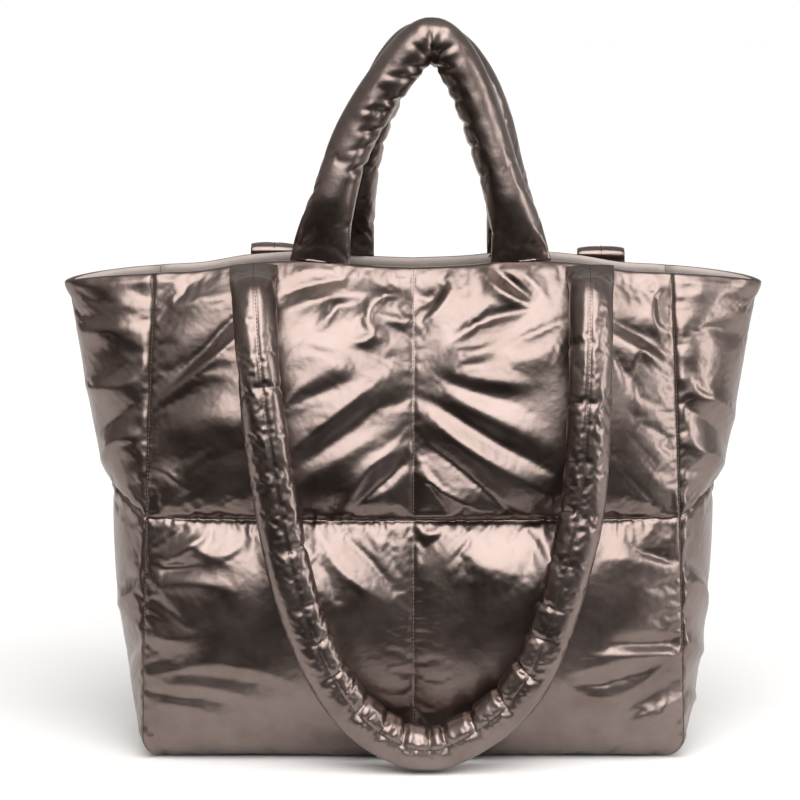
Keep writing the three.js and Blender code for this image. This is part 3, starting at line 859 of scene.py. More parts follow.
    def seams(self) -> list[tuple[Array, Array]]:
        """Returns the upright seams that show their stitches, each with the way out of the cloth."""
        cloth, normals = (rows[FIRST_STITCHED:] for rows in (self.cloth, grid_normals(self.cloth)))
        return [(cloth[:, k], normals[:, k]) for k in (0, cloth.shape[1] // 2, cloth.shape[1] - 1)]


def sheet(name: str, columns: int, rows: int, places: Array) -> bpy.types.Object:
    """Makes an open sheet of cloth from a grid.

    Args:
        name: the name of the object.
        columns: how many cells there are across.
        rows: how many cells there are up.
        places: the place of each point, row by row, in metres.

    Returns:
        The sheet as an object at the origin.
    """
    bm = bmesh.new()
    bmesh.ops.create_grid(bm, x_segments=columns, y_segments=rows, size=1.0)
    ordered = sorted(bm.verts, key=lambda vert: (round(vert.co.y, 5), round(vert.co.x, 5)))
    for number, (vert, place) in enumerate(zip(ordered, places)):
        vert.co = place
        vert.index = number
    bm.verts.sort()
    return link(name, closed_up(bm, bpy.data.meshes.new(name)))


def finer(grid: Array, closed: bool = False, axes: tuple[int, ...] = (0, 1)) -> Array:
    """Doubles a grid's rows and columns, along smooth curves through its points.

    Args:
        grid: places by row and column.
        closed: whether the last column is next to the first.
        axes: 0 for the rows and 1 for the columns.

    Returns:
        The finer grid.
    """
    for axis in axes:
        grid = np.moveaxis(grid, axis, 0)
        if closed and axis == 1:
            line = np.concatenate([grid[-1:], grid, grid[:2]])
        else:
            line = np.concatenate([2 * grid[:1] - grid[1:2], grid, 2 * grid[-1:] - grid[-2:-1]])
        middle = (9 * (line[1:-2] + line[2:-1]) - line[:-3] - line[3:]) / 16
        longer = np.empty((len(grid) + len(middle), *grid.shape[1:]))
        longer[0::2], longer[1::2] = grid, middle
        grid = np.moveaxis(longer, 0, axis)
    return grid


def grid_normals(grid: Array, closed: bool = False) -> Array:
    """Works out which way a grid's points face.

    Args:
        grid: places by row and column.
        closed: whether the last column is next to the first.

    Returns:
        One unit vector for each point.
    """
    if closed:
        wide = np.gradient(np.concatenate([grid[:, -1:], grid, grid[:, :1]], axis=1), axis=1)[:, 1:-1]
    else:
        wide = np.gradient(grid, axis=1)
    return unit(np.cross(wide, np.gradient(grid, axis=0)))


def close_wall(piece: bpy.types.Object, wall: PaddedWall) -> None:
    """Adds the lining behind the quilted cloth and joins the two at their edges.

    Args:
        piece: the quilted cloth.
        wall: the wall that it belongs to.
    """
    form = wall.form
    columns, low, high = GUSSET_LINING if wall.bent else PANEL_LINING
    across, share = wall.grid(columns, low, high)
    base, normal = wall.surface(across, share), form.normals(wall.surface, across, share)
    depth = form.wall + form.lining_puff * form.fullness(across, share, wall.bent)
    inner = base - normal * depth[:, None]
    inner[:, 1 if wall.bent else 0] -= form.edge_step(across)
    lining = sheet(wall.name + "_lining", columns, low + high, inner * MM)
    bm = opened(piece.data)
    outer_edges = [edge for edge in bm.edges if edge.is_boundary]
    bm.from_mesh(lining.data)
    bm.edges.ensure_lookup_table()
    known = set(outer_edges)
    inner_edges = [edge for edge in bm.edges if edge.is_boundary and edge not in known]
    inner_faces = {face for edge in inner_edges for face in edge.link_faces}
    grown = set(inner_faces)
    while grown:
        grown = {other for face in grown for edge in face.edges for other in edge.link_faces}
        grown -= inner_faces
        inner_faces |= grown
    bmesh.ops.reverse_faces(bm, faces=list(inner_faces))
    for face in inner_faces:
        face.material_index = 1
    bmesh.ops.bridge_loops(bm, edges=outer_edges + inner_edges)
    closed_up(bm, piece.data)
    bpy.data.objects.remove(lining)


def dress(piece: bpy.types.Object, node: str, *finishes: bpy.types.Material) -> bpy.types.Object:
    """Finishes a padded piece and puts it in its solid's place.

    Args:
        piece: the piece.
        node: the solid that it stands for.
        *finishes: its materials, in the order of its faces' numbers.

    Returns:
        The piece.
    """
    indices = np.zeros(len(piece.data.polygons), np.int32)
    piece.data.polygons.foreach_get("material_index", indices)
    piece.data.materials.clear()
    for finish in finishes:
        piece.data.materials.append(finish)
    piece.data.polygons.foreach_set("material_index", indices)
    piece.data.shade_smooth()
    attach(piece, "root")
    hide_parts(node)
    return piece


PATH_POINTS = 3000  # how many points a tube's line is drawn through
PATH_STEP = 2  # how far ahead and behind its direction is read, in millimetres
# A crease in a tube: the share of its depth that it takes and how wide it is, in millimetres. The
# lips beside it: the share that they stand out, how far away they are and how wide.
CREASE_SHARE, CREASE_WIDE = 0.7, 2.2
LIP_SHARE, LIP_AWAY, LIP_WIDE = 0.3, 5.0, 2.6
# A pinch takes this share of its depth all round the tube, and this one on its own side alone.
PINCH_ROUND, PINCH_SIDE = 0.55, 0.45
# How round a tube is, from its thickness as a share of its width.
ROUND_GAIN, ROUND_FROM = 1.6, 0.4
GROOVE_WIDE = 1.8  # how wide the groove along a tube's seam is, in millimetres
SWELL_SHARE = 0.15  # the share of a tube, to each side of its middle, whose pleats are larger


def lengths_along(points: Array) -> Array:
    """Returns how far along a line each of its points lies."""
    return np.concatenate([[0.0], np.cumsum(np.linalg.norm(np.diff(points, axis=0), axis=1))])


class Path:
    """A smooth line through points, measured along its length in millimetres."""

    def __init__(self, points: Array) -> None:
        """Draws the line.

        Args:
            points: one row for each point.
        """
        steps = np.linalg.norm(np.diff(points, axis=0), axis=1)
        knots = np.concatenate([[0.0], np.cumsum(np.sqrt(steps))])
        fine = np.linspace(0.0, knots[-1], PATH_POINTS)
        curves = [smooth_line(list(zip(knots, points[:, k])), fine) for k in range(3)]
        self.line = np.stack(curves, axis=-1)
        self.reach = lengths_along(self.line)

    @property
    def length(self) -> float:
        """Length of the line."""
        return float(self.reach[-1])

    def at(self, stations: Array) -> Array:
        """Returns the points at distances along the line, one row each."""
        return np.stack([np.interp(stations, self.reach, self.line[:, k]) for k in range(3)], axis=-1)

    def frames(self, stations: Array) -> tuple[Array, Array, Array]:
        """Works out a frame that doesn't twist along the line, and starts with its width along X.

        Args:
            stations: distances along the line.

        Returns:
            The points, and the directions of the width and of the thickness.
        """
        centre = self.at(stations)
        ahead = np.minimum(stations + PATH_STEP, self.length)
        behind = np.maximum(stations - PATH_STEP, 0.0)
        forward = unit(self.at(ahead) - self.at(behind))
        side, sides = np.array([1.0, 0.0, 0.0]), []
        for way in forward:
            side = side - (side @ way) * way
            side = side / np.linalg.norm(side)
            sides.append(side)
        sides = np.array(sides)
        return centre, sides, np.cross(forward, sides)


@dataclass(frozen=True)
class Pinch:
    """A place where a padded tube is drawn in, with a sharp crease in its middle.

    Attributes:
        along: its share of the way along the tube.
        deep: the share of the thickness that it takes.
        turn: the angle round the tube at which it is deepest, in degrees.
        wide: how far it spreads along the tube, in millimetres.
        crease: how deep its crease is, in millimetres.
        slant: how far the crease runs along the tube in a quarter turn, in millimetres.
    """

    along: float
    deep: float
    turn: float = 26.0
    wide: float = 6.0
    crease: float = 2.2
    slant: float = 0.0

    def cut(self, station: Array, turn: Array, span: float) -> Array:
        """Works out the crease and the lips beside it.

        Args:
            station: how far each point is from the pinch along the tube, in millimetres.
            turn: the angle of each point round the tube.
            span: how far round the tube the crease runs to each side, in radians.

        Returns:
            The lift of each point, in millimetres.
        """
        aside = (turn - math.radians(self.turn) + np.pi) % (2 * np.pi) - np.pi
        off = np.abs(station - self.slant * aside)
        window = np.exp(-np.abs(aside / span) ** 4)
        lips = LIP_SHARE * np.exp(-(((off - LIP_AWAY) / LIP_WIDE) ** 2))
        return CREASE_SHARE * self.crease * window * (lips - np.exp(-((off / CREASE_WIDE) ** 1.5)))


@dataclass
class PaddedTube:
    """A padded tube of cloth, sewn shut along one line of stitches.

    Attributes:
        form: the bag's stitched form.
        name: the piece's name, which is also its solid's.
        step: distance between the threads that are simulated, in millimetres.
        around: how many threads there are round the tube.
        seam_turn: the angle of its seam round the tube, in degrees.
        filling: how the cloth is filled out.
        pinches: where it is drawn in.
        turned: whether it is the half-turned twin, at the back.
        gather_seed: the seed of its pleats.
        thickness: its mean thickness, in millimetres.
        span: how far round it a crease runs to each side, in radians.
        pleat: how far the pleats along its seam stand out, in millimetres.
        swell: how much further they stand out in its middle, as a share.
        groove: how deep its seam lies, in millimetres.
        refined: how many more times its rings are doubled, to carry finer pleats.
        cloth: the places of its finished points, by ring and then round the ring.
    """

    form: BagForm
    name: str
    step: float = 2.8
    around: int = 36
    seam_turn: float = 90.0
    filling: Filling = Filling(pressure=2.0, spare=0.008, frames=16, reach=3.0)
    pinches: tuple[Pinch, ...] = ()
    turned: bool = False
    gather_seed: int = 21
    thickness: float = 31.0
    span: float = 0.8
    pleat: float = 0.3
    swell: float = 0.0
    groove: float = 0.4
    refined: int = 0
    cloth: Array = field(default_factory=lambda: np.zeros((0, 0, 3)))

    def path(self) -> Path:
        """Returns the line that the tube follows."""
        raise NotImplementedError

    def shape(self, from_end: Array) -> tuple[Array, Array]:
        """Returns half the width and half the thickness, by distance from the nearer end."""
        raise NotImplementedError

    def turns(self, around: int) -> Array:
        """Returns the angles of the threads round the tube, from its seam on."""
        return 2 * np.pi * np.arange(around) / around + math.radians(self.seam_turn)

    def roundness(self, stations: Array, length: float) -> Array:
        """Returns how round the tube is, from 0 where it is flat to 1."""
        half_wide, half_thick = self.shape(np.minimum(stations, length - stations))
        return np.clip((half_thick / half_wide) * ROUND_GAIN - ROUND_FROM, 0.0, 1.0)

    def rings(self, stations: Array, length: float) -> Array:
        """Works out how far the cloth stands from the tube's middle before it is filled out.

        Args:
            stations: distances along the tube.
            length: the tube's length.

        Returns:
            For each station and each thread, the reach along the width and along the thickness.
        """
        half_wide, half_thick = self.shape(np.minimum(stations, length - stations))
        station, turn = np.meshgrid(stations, self.turns(self.around), indexing="ij")
        drawn = np.zeros_like(station)
        for pinch in self.pinches:
            near = np.exp(-np.abs((station - pinch.along * length) / pinch.wide) ** 1.7)
            side = PINCH_ROUND + PINCH_SIDE * np.cos(turn - math.radians(pinch.turn))
            drawn += pinch.deep * near * side
        stand = 1 - drawn * self.roundness(stations, length)[:, None]
        wide = np.cos(turn) * half_wide[:, None] * stand
        return np.stack([wide, np.sin(turn) * half_thick[:, None] * stand], axis=-1)

    def relief(self, stations: Array, length: float, around: int) -> Array:
        """Returns how far the pleats along the seam lift the cloth, by station and thread."""
        station, turn = np.meshgrid(stations, self.turns(around), indexing="ij")
        from_seam = (turn - math.radians(self.seam_turn)) % (2 * np.pi)
        away = np.minimum(from_seam, 2 * np.pi - from_seam) * self.thickness / 2
        lift = np.zeros_like(station)
        for more, side in enumerate((from_seam <= np.pi, from_seam > np.pi)):
            pleats = self.gathers(self.gather_seed + more)
            rise = pleats.stand(station.ravel(), away.ravel()).reshape(station.shape)
            lift += np.where(side, rise, 0.0)
        lift *= 1 + self.swell * np.exp(-(((station / length - 0.5) / SWELL_SHARE) ** 2))
        for pinch in self.pinches:
            lift += pinch.cut(station - pinch.along * length, turn, self.span)
        groove = self.groove * np.exp(-((away / GROOVE_WIDE) ** 2))
        return (lift - groove) * self.roundness(stations, length)[:, None]

    def gathers(self, seed: int) -> Gathers:
        """Returns the pleats on one side of the seam."""
        return Gathers(5.2, 8.5, self.pleat, seed)

    def end_rise(self) -> float:
        """Returns how far above the rim the tube's ends are cut."""
        return self.form.seam_gap

    def build(self, nylon: bpy.types.Material) -> bpy.types.Object:
        """Makes the tube.

        Args:
            nylon: its cloth.

        Returns:
            The finished piece.
        """
        path = self.path()
        count = round(path.length / self.step)
        stations = np.linspace(0.0, path.length, count + 1)
        centre, side, thick = path.frames(stations)
        reach = self.rings(stations, path.length)
        places = centre[:, None] + reach[..., :1] * side[:, None] + reach[..., 1:] * thick[:, None]
        cloth = rolled("cut tube", places * MM)
        number = np.arange((count + 1) * self.around)
        ring = number // self.around
        held = (number % self.around == 0) | (ring < 2) | (ring > count - 2)
        self.filling.settle(cloth, np.flatnonzero(held))
        places = (read_places(cloth.data) / MM).reshape(places.shape)
        bpy.data.objects.remove(cloth)
        places = finer(places, closed=True)
        for _ in range(self.refined):
            places = finer(places, closed=True, axes=(0,))
        outward = grid_normals(places, closed=True)
        relief = self.relief(np.linspace(0.0, path.length, len(places)), path.length, 2 * self.around)
        places += outward * relief[..., None]
        rise = self.end_rise()
        for end in (0, -1):
            places[end, :, 2] = [self.form.rim_top(x) + rise for x in places[end, :, 0]]
        piece = rolled(self.name + "_cloth", places * MM)
        bm = opened(piece.data)
        bmesh.ops.holes_fill(bm, edges=[edge for edge in bm.edges if edge.is_boundary], sides=0)
        bmesh.ops.recalc_face_normals(bm, faces=bm.faces)
        closed_up(bm, piece.data)
        self.cloth = places
        if self.turned:
            piece.data.transform(Matrix.Rotation(math.pi, 4, "Z"))
        return dress(piece, self.name, nylon)


def tube_seams(cloth: Array) -> list[tuple[Array, Array]]:
    """Returns a tube's seam, with the way out of the cloth."""
    return [(cloth[:, 0], grid_normals(cloth, closed=True)[:, 0])]


def rolled(name: str, places: Array) -> bpy.types.Object:
    """Makes an open tube of cloth, ring by ring.

    Args:
        name: the name of the object.
        places: the place of each point, by ring and then round the ring, in metres.

    Returns:
        The tube as an object at the origin.
    """
    rings, around, _ = places.shape
    closed = np.concatenate([places, places[:, :1]], axis=1)
    piece = sheet(name, around, rings - 1, closed.reshape(-1, 3))
    bm = opened(piece.data)
    bm.verts.ensure_lookup_table()
    wide = around + 1
    same = {bm.verts[j * wide + around]: bm.verts[j * wide] for j in range(rings)}
    bmesh.ops.weld_verts(bm, targetmap=same)
    closed_up(bm, piece.data)
    return piece


@dataclass
class Handle(PaddedTube):
    """A short padded handle that stands on the rim.

    Attributes:
        arch: across and up of the points that it passes through, as shares of half its spread
            and of its rise.
    """

    arch: tuple[tuple[float, float], ...] = ()
    spread: float = 144.0
    rise: float = 156.0
    shift: float = 6.0
    width: float = 31.0
    foot: float = 43.0
    foot_thick: float = 8.0
    foot_reach: float = 50.0
    foot_taper: float = 72.0
    taper_power: float = 1.3
    lean: float = 12.0

    def path(self) -> Path:
        """Returns the arch from the left foot to the right one."""
        points = []
        for across, up in self.arch:
            x = self.shift + across * self.spread / 2
            y = self.form.rim_middle(x) + self.lean * ease(up)
            points.append((x, y, self.form.height + up * self.rise))
        return Path(np.array(points))

    def shape(self, from_end: Array) -> tuple[Array, Array]:
        """Returns half the width and half the thickness, by distance from the nearer foot."""
        spread = (1 - np.clip(from_end / self.foot_taper, 0.0, 1.0)) ** self.taper_power
        flat = 1 - ease(from_end / self.foot_reach)
        wide = self.width + (self.foot - self.width) * spread
        thick = self.width + (self.foot_thick - self.width) * flat
        return wide / 2, thick / 2


@dataclass
class Strap(PaddedTube):
    """A long padded strap that hangs down against the panel from the rim.

    Attributes:
        panel: the places of the finished panel's points, in millimetres.
        line: across and down of the points that it passes through, as shares of half its spread
            and of its drop.
        folded: whether its ends come up from inside the rim and fold over it.
    """

    panel: Array | None = None
    line: tuple[tuple[float, float], ...] = ()
    shift: float = 6.0
    spread: float = 237.0
    width: float = 31.0
    depth: float = 29.0
    folded: bool = False
    tab_wide: float = 34.0
    tab_thick: float = 4.0
    tab_flat: float = 25.0
    tab_rise: float = 3.4
    tab_drop: float = 2.0
    tab_sewn: float = 9.0  # how far below the rim a front end is sewn on
    rounding: float = 2.0  # the strap's edges are too round to touch the panel
    lift: float = 2.6
    gap: float = 1.2
    span: float = 1.1
    pleat: float = 0.2
    swell: float = 2.0
    refined: int = 1

    def end_rise(self) -> float:
        """Returns how far above the rim the strap's ends are cut."""
        return self.form.seam_gap if self.folded else -self.tab_drop

    def reach(self, x: float, z: float) -> float:
        """Returns how far the panel's padding stands out behind the strap."""
        beside = np.abs(self.panel[:, 0] - x) < self.width / 2 - self.rounding
        level = np.abs(self.panel[:, 2] - z) < self.depth / 2 - self.rounding
        return float(np.max(-self.panel[beside & level, 1]))

    def path(self) -> Path:
        """Returns the line from one end at the rim, down against the padding, to the other end."""
        form = self.form
        drop = form.height - self.lift - self.width / 2
        ends = []
        for side in (-1, 1):
            x = self.shift + side * self.spread / 2
            y = form.rim_middle(x)
            z = max(form.rim_top(x - self.tab_wide / 2), form.rim_top(x + self.tab_wide / 2))
            if not self.folded:
                behind = self.reach(x, z + self.depth / 2 - self.tab_sewn)
                front = -(behind + self.tab_thick / 2 + self.gap / 2)
                ends.append([(x, front, z - self.tab_drop)])
                continue
            front = -(self.reach(x, z) + self.tab_thick / 2 + self.gap)
            top, half = z + self.tab_rise, self.tab_thick / 2
            over = [(x, y, z), (x, y, top - half), (x, (y + front) / 2, top), (x, front, top - half)]
            ends.append([*over, (x, front - half / 2, z - 2 * half)])
        hanging = []
        for across, down in self.line:
            x, z = self.shift + across * self.spread / 2, form.height - down * drop
            rounded = ease((form.height - z) / self.tab_wide)
            thick = self.tab_thick + (self.depth - self.tab_thick) * rounded
            hanging.append([x, -(self.reach(x, z) + thick / 2 + self.gap), z])
        hanging = np.array(hanging)
        # The strap is too stiff to follow each hollow of the padding behind it.
        for _ in range(8):
            for i in range(1, len(hanging) - 1):
                hanging[i, 1] = min(hanging[i, 1], (hanging[i - 1, 1] + hanging[i + 1, 1]) / 2)
        return Path(np.array([*ends[0], *hanging, *reversed(ends[1])]))

    def shape(self, from_end: Array) -> tuple[Array, Array]:
        """Returns half the width and half the thickness, by distance from the nearer end."""
        rounded = ease((from_end - (self.tab_flat if self.folded else 0.0)) / self.tab_wide)
        wide = self.tab_wide + (self.width - self.tab_wide) * rounded
        thick = self.tab_thick + (self.depth - self.tab_thick) * rounded
        return wide / 2, thick / 2


# How far the back's handle and strap sit to the right of the middle before they turn half round.
BACK_SHIFT = -18.0
# The handles, from the left foot to the right one: across and up, as shares of half the spread
# and of the rise.
FRONT_ARCH = (
    (-1.0, 0.015), (-0.935, 0.2), (-0.8, 0.41), (-0.67, 0.57), (-0.51, 0.706), (-0.31, 0.843),
    (-0.1, 0.965), (0.09, 1.03), (0.235, 0.99), (0.369, 0.9), (0.497, 0.775), (0.606, 0.64),
    (0.715, 0.49), (0.833, 0.324), (0.921, 0.18), (0.976, 0.015),
)
BACK_ARCH = (
    (-0.79, 0.015), (-0.75, 0.16), (-0.704, 0.3), (-0.62, 0.469), (-0.53, 0.631), (-0.4, 0.787),
    (-0.25, 0.9), (-0.12, 0.96), (0.0, 0.99), (0.12, 1.005), (0.24, 0.985), (0.34, 0.94),
    (0.45, 0.865), (0.555, 0.765), (0.69, 0.61), (0.782, 0.449), (0.885, 0.192), (0.9375, 0.015),
)
# The straps, from end to end: across and down, as shares of half the spread and of the drop.
STRAP_LINE = (
    (-0.995, 0.035), (-0.98, 0.07), (-0.958, 0.18), (-0.9, 0.34), (-0.83, 0.5), (-0.74, 0.655),
    (-0.62, 0.78), (-0.5, 0.864), (-0.37, 0.926), (-0.22, 0.97), (-0.06, 0.996), (0.1, 0.998),
    (0.25, 0.974), (0.4, 0.938), (0.54, 0.89), (0.67, 0.815), (0.77, 0.715), (0.86, 0.6),
    (0.93, 0.48), (0.965, 0.32), (0.985, 0.17), (0.99, 0.07), (0.998, 0.035),
)
# Where the filling of the straps is pinched: deepest and closest where they hang lowest.
STRAP_PINCHES = (
    Pinch(0.13, 0.05, 30, crease=0.9), Pinch(0.2, 0.04, 10, crease=0.8),
    Pinch(0.27, 0.06, 30, crease=1.2), Pinch(0.32, 0.05, 10, crease=1.0),
    Pinch(0.352, 0.05, 30, crease=1.4, slant=2), Pinch(0.385, 0.05, crease=1.4, slant=2),
    Pinch(0.424, 0.09, crease=2.4, slant=2), Pinch(0.452, 0.06, crease=1.8, slant=3),
    Pinch(0.474, 0.11, crease=2.6, slant=2), Pinch(0.503, 0.08, 40, crease=2.2),
    Pinch(0.521, 0.12, crease=2.8, slant=-2), Pinch(0.551, 0.11, crease=2.6, slant=-2),
    Pinch(0.586, 0.1, crease=2.6, slant=-2), Pinch(0.62, 0.1, 40, crease=2.6, slant=-2),
    Pinch(0.652, 0.06, crease=1.6), Pinch(0.682, 0.05, 20, crease=1.3),
    Pinch(0.72, 0.06, 0, crease=1.6), Pinch(0.765, 0.05, 20, crease=1.2),
    Pinch(0.81, 0.04, 0, crease=1.2), Pinch(0.86, 0.05, 20, crease=1.0),
    Pinch(0.91, 0.03, 20, crease=0.8),
)
# Where the handles' filling is pinched: most on the inside of the arch, and deepest at its top.
HANDLE_PINCHES = (
    Pinch(0.08, 0.02, -50, crease=1.2, slant=6), Pinch(0.205, 0.05, -25, crease=2.6, slant=6),
    Pinch(0.248, 0.02, -45, crease=1.0, slant=9), Pinch(0.288, 0.04, -35, crease=2.2, slant=6),
    Pinch(0.33, 0.02, -60, crease=1.0, slant=8), Pinch(0.365, 0.05, -20, crease=2.8, slant=5),
    Pinch(0.412, 0.03, -55, crease=1.4, slant=7), Pinch(0.446, 0.03, -30, crease=1.8, slant=4),
    Pinch(0.478, 0.02, -60, crease=1.0, slant=2), Pinch(0.51, 0.2, 0, wide=8.0, crease=4.8),
    Pinch(0.514, 0.07, -120, wide=7.0, crease=3.0), Pinch(0.545, 0.04, -60, crease=2.2, slant=-3),
    Pinch(0.572, 0.06, -20, crease=2.6, slant=-6), Pinch(0.62, 0.03, -10, crease=1.0),
    Pinch(0.65, 0.04, 0, crease=1.5, slant=-2), Pinch(0.7, 0.05, 0, crease=1.6, slant=-3),
    Pinch(0.75, 0.04, 0, crease=1.4), Pinch(0.81, 0.02, 0, crease=0.9),
    Pinch(0.93, 0.03, -20, crease=1.8, slant=-6), Pinch(0.955, 0.02, -70, crease=1.6, slant=-5),
)


@dataclass
class BasePanel:
    """The flat padded base, inside the walls' turned-under edges."""

    form: BagForm
    name: str = "base_panel"
    thick: float = 6.0
    puff: float = 5.0
    columns: int = 56
    rows: int = 18

    def build(self, nylon: bpy.types.Material) -> bpy.types.Object:
        """Makes the base.

        Args:
            nylon: its cloth.

        Returns:
            The finished piece.
        """
        form = self.form
        across = np.tile(np.linspace(-1, 1, self.columns + 1), self.rows + 1)
        deep = np.repeat(np.linspace(-1, 1, self.rows + 1), self.columns + 1)
        half = form.panel_foot / 2 - form.base_edge - form.seam_gap
        reach = form.gusset / 2 - form.base_edge - form.seam_gap
        reach = reach + form.bow_line[0][1] * form.gusset * (1 - across**2)
        full = (1 - np.abs(across) ** 3) * (1 - np.abs(deep) ** 3)
        top = self.thick - form.wall + self.puff * full
        places = np.stack([across * half, deep * reach, top], axis=-1)
        piece = sheet(self.name + "_cloth", self.columns, self.rows, places * MM)
        bm = opened(piece.data)
        edge_loop = [edge for edge in bm.edges if edge.is_boundary]
        made = bmesh.ops.extrude_edge_only(bm, edges=edge_loop)["geom"]
        for part in made:
            if isinstance(part, bmesh.types.BMVert):
                part.co.z = 0.0
        bmesh.ops.holes_fill(bm, edges=[edge for edge in bm.edges if edge.is_boundary], sides=0)
        bmesh.ops.recalc_face_normals(bm, faces=bm.faces)
        closed_up(bm, piece.data)
        return dress(piece, self.name, nylon)


def put_on(stitches: bpy.types.Object, turned: bool) -> None:
    """Puts stitches on the bag.

    Args:
        stitches: the stitches, as they are on the front.
        turned: whether they belong to the back, and are turned half round.
    """
    if turned:
        stitches.data.transform(Matrix.Rotation(math.pi, 4, "Z"))
    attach(stitches, "root")


def twin(piece: bpy.types.Object, name: str) -> bpy.types.Object:
    """Copies a piece to the other side of the bag, turned half round.

    Args:
        piece: the piece of the front or of the right.
        name: the twin's name, which is also its solid's.

    Returns:
        The finished twin.
    """
    mesh = piece.data.copy()
    mesh.name = name + "_cloth"
    mesh.transform(Matrix.Rotation(math.pi, 4, "Z"))
    return dress(link(name + "_cloth", mesh), name, *piece.data.materials)


@dataclass(frozen=True)
class SatinLining:
    """Satin-woven polyester lining: smooth floats that give a broad, pale sheen and no mirror."""

    colour: str = "#B4A79F"
    roughness: float = 0.42

    def build(self) -> bpy.types.Material:
        """Returns the lining as a material."""
        material, tree, shader = blank_material("satin polyester lining, woven")
        shader.inputs["Roughness"].default_value = self.roughness
        shader.inputs["Sheen Weight"].default_value = 0.3
        place = add_node(tree, "ShaderNodeTexCoord").outputs["Object"]
        # Slubs in the yarn, 15 to 30 mm long, lighten it here and there.
        slub = add_node(tree, "ShaderNodeTexNoise", {"Scale": 45.0, "Detail": 2.0}, Vector=place)
        shades = dimmed(self.colour, 0.85), linear(self.colour)
        colour_between(tree, slub.outputs["Fac"], (0.3, 0.7), shades)
        crumple = add_node(tree, "ShaderNodeTexNoise", {"Scale": 110.0, "Detail": 2.0}, Vector=place)
        rise = {"Strength": 0.3, "Distance": 0.0015}
        soft = add_node(tree, "ShaderNodeBump", rise, Height=crumple.outputs["Fac"])
        tree.links.new(soft.outputs["Normal"], shader.inputs["Normal"])
        return material


@dataclass(frozen=True)
class PolyesterThread:
    """Spun polyester sewing thread: dull, with a soft fuzz that takes the shine off."""

    colour: str = "#3A2E29"
    roughness: float = 0.62

    def build(self, name: str) -> bpy.types.Material:
        """Returns the thread as a material.

        Args:
            name: the material's name.

        Returns:
            The material.
        """
        material, tree, shader = blank_material(name)
        shader.inputs["Roughness"].default_value = self.roughness
        place = add_node(tree, "ShaderNodeTexCoord").outputs["Object"]
        # Two plies, 0.3 mm apart, show as lighter and darker dashes along each stitch.
        plies = add_node(tree, "ShaderNodeTexNoise", {"Scale": 1600.0, "Detail": 1.0}, Vector=place)
        shades = dimmed(self.colour, 0.6), linear(self.colour)
        colour_between(tree, plies.outputs["Fac"], (0.35, 0.65), shades)
        return material


@dataclass(frozen=True)
class Stitching:
    """A row of lock stitches along a seam.

    Attributes:
        pitch: distance from one stitch to the next, in millimetres.
        length: length of the thread that shows in each stitch.
        thick: thickness of the thread.
        stand: how far the stitches' middles stand out of the seam.
    """

    pitch: float = 3.0
    length: float = 2.2
    thick: float = 0.6
    stand: float = 0.15

    def build(
        self, name: str, seams: Sequence[tuple[Array, Array]], thread: bpy.types.Material
    ) -> bpy.types.Object:
        """Sews the seams of a piece.

        Args:
            name: the name of the piece.
            seams: the places along each seam and the way out of the cloth there, in millimetres.
            thread: the thread's material.

        Returns:
            The stitches, as one object.
        """
        one = bmesh.new()
        bmesh.ops.create_uvsphere(one, u_segments=6, v_segments=4, radius=1.0)
        stitch = closed_up(one, bpy.data.meshes.new("stitch"))
        ball = read_places(stitch) * [self.thick / 2, self.thick / 2, self.length / 2]
        bm = bmesh.new()
        for points, outward in seams:
            reach = lengths_along(points)
            for middle in np.arange(self.pitch, reach[-1] - self.pitch, self.pitch):
                start, centre, end = (
                    self._at(middle + off * self.length, reach, points) for off in (-0.5, 0.0, 0.5)
                )
                way = unit(end - start)
                side = unit(np.cross(self._at(middle, reach, outward), way))
                out = np.cross(way, side)
                turned = ball @ np.array([side, out, way])
                write_places(stitch, (centre + out * self.stand + turned) * MM)
                bm.from_mesh(stitch)
        bpy.data.meshes.remove(stitch)
        mesh = closed_up(bm, bpy.data.meshes.new(name))
        mesh.materials.append(thread)
        mesh.shade_smooth()
        return link(name, mesh)

    @staticmethod
    def _at(station: float, reach: Array, rows: Array) -> Array:
        """Returns the row at a distance along a seam."""
        return np.array([np.interp(station, reach, rows[:, k]) for k in range(3)])


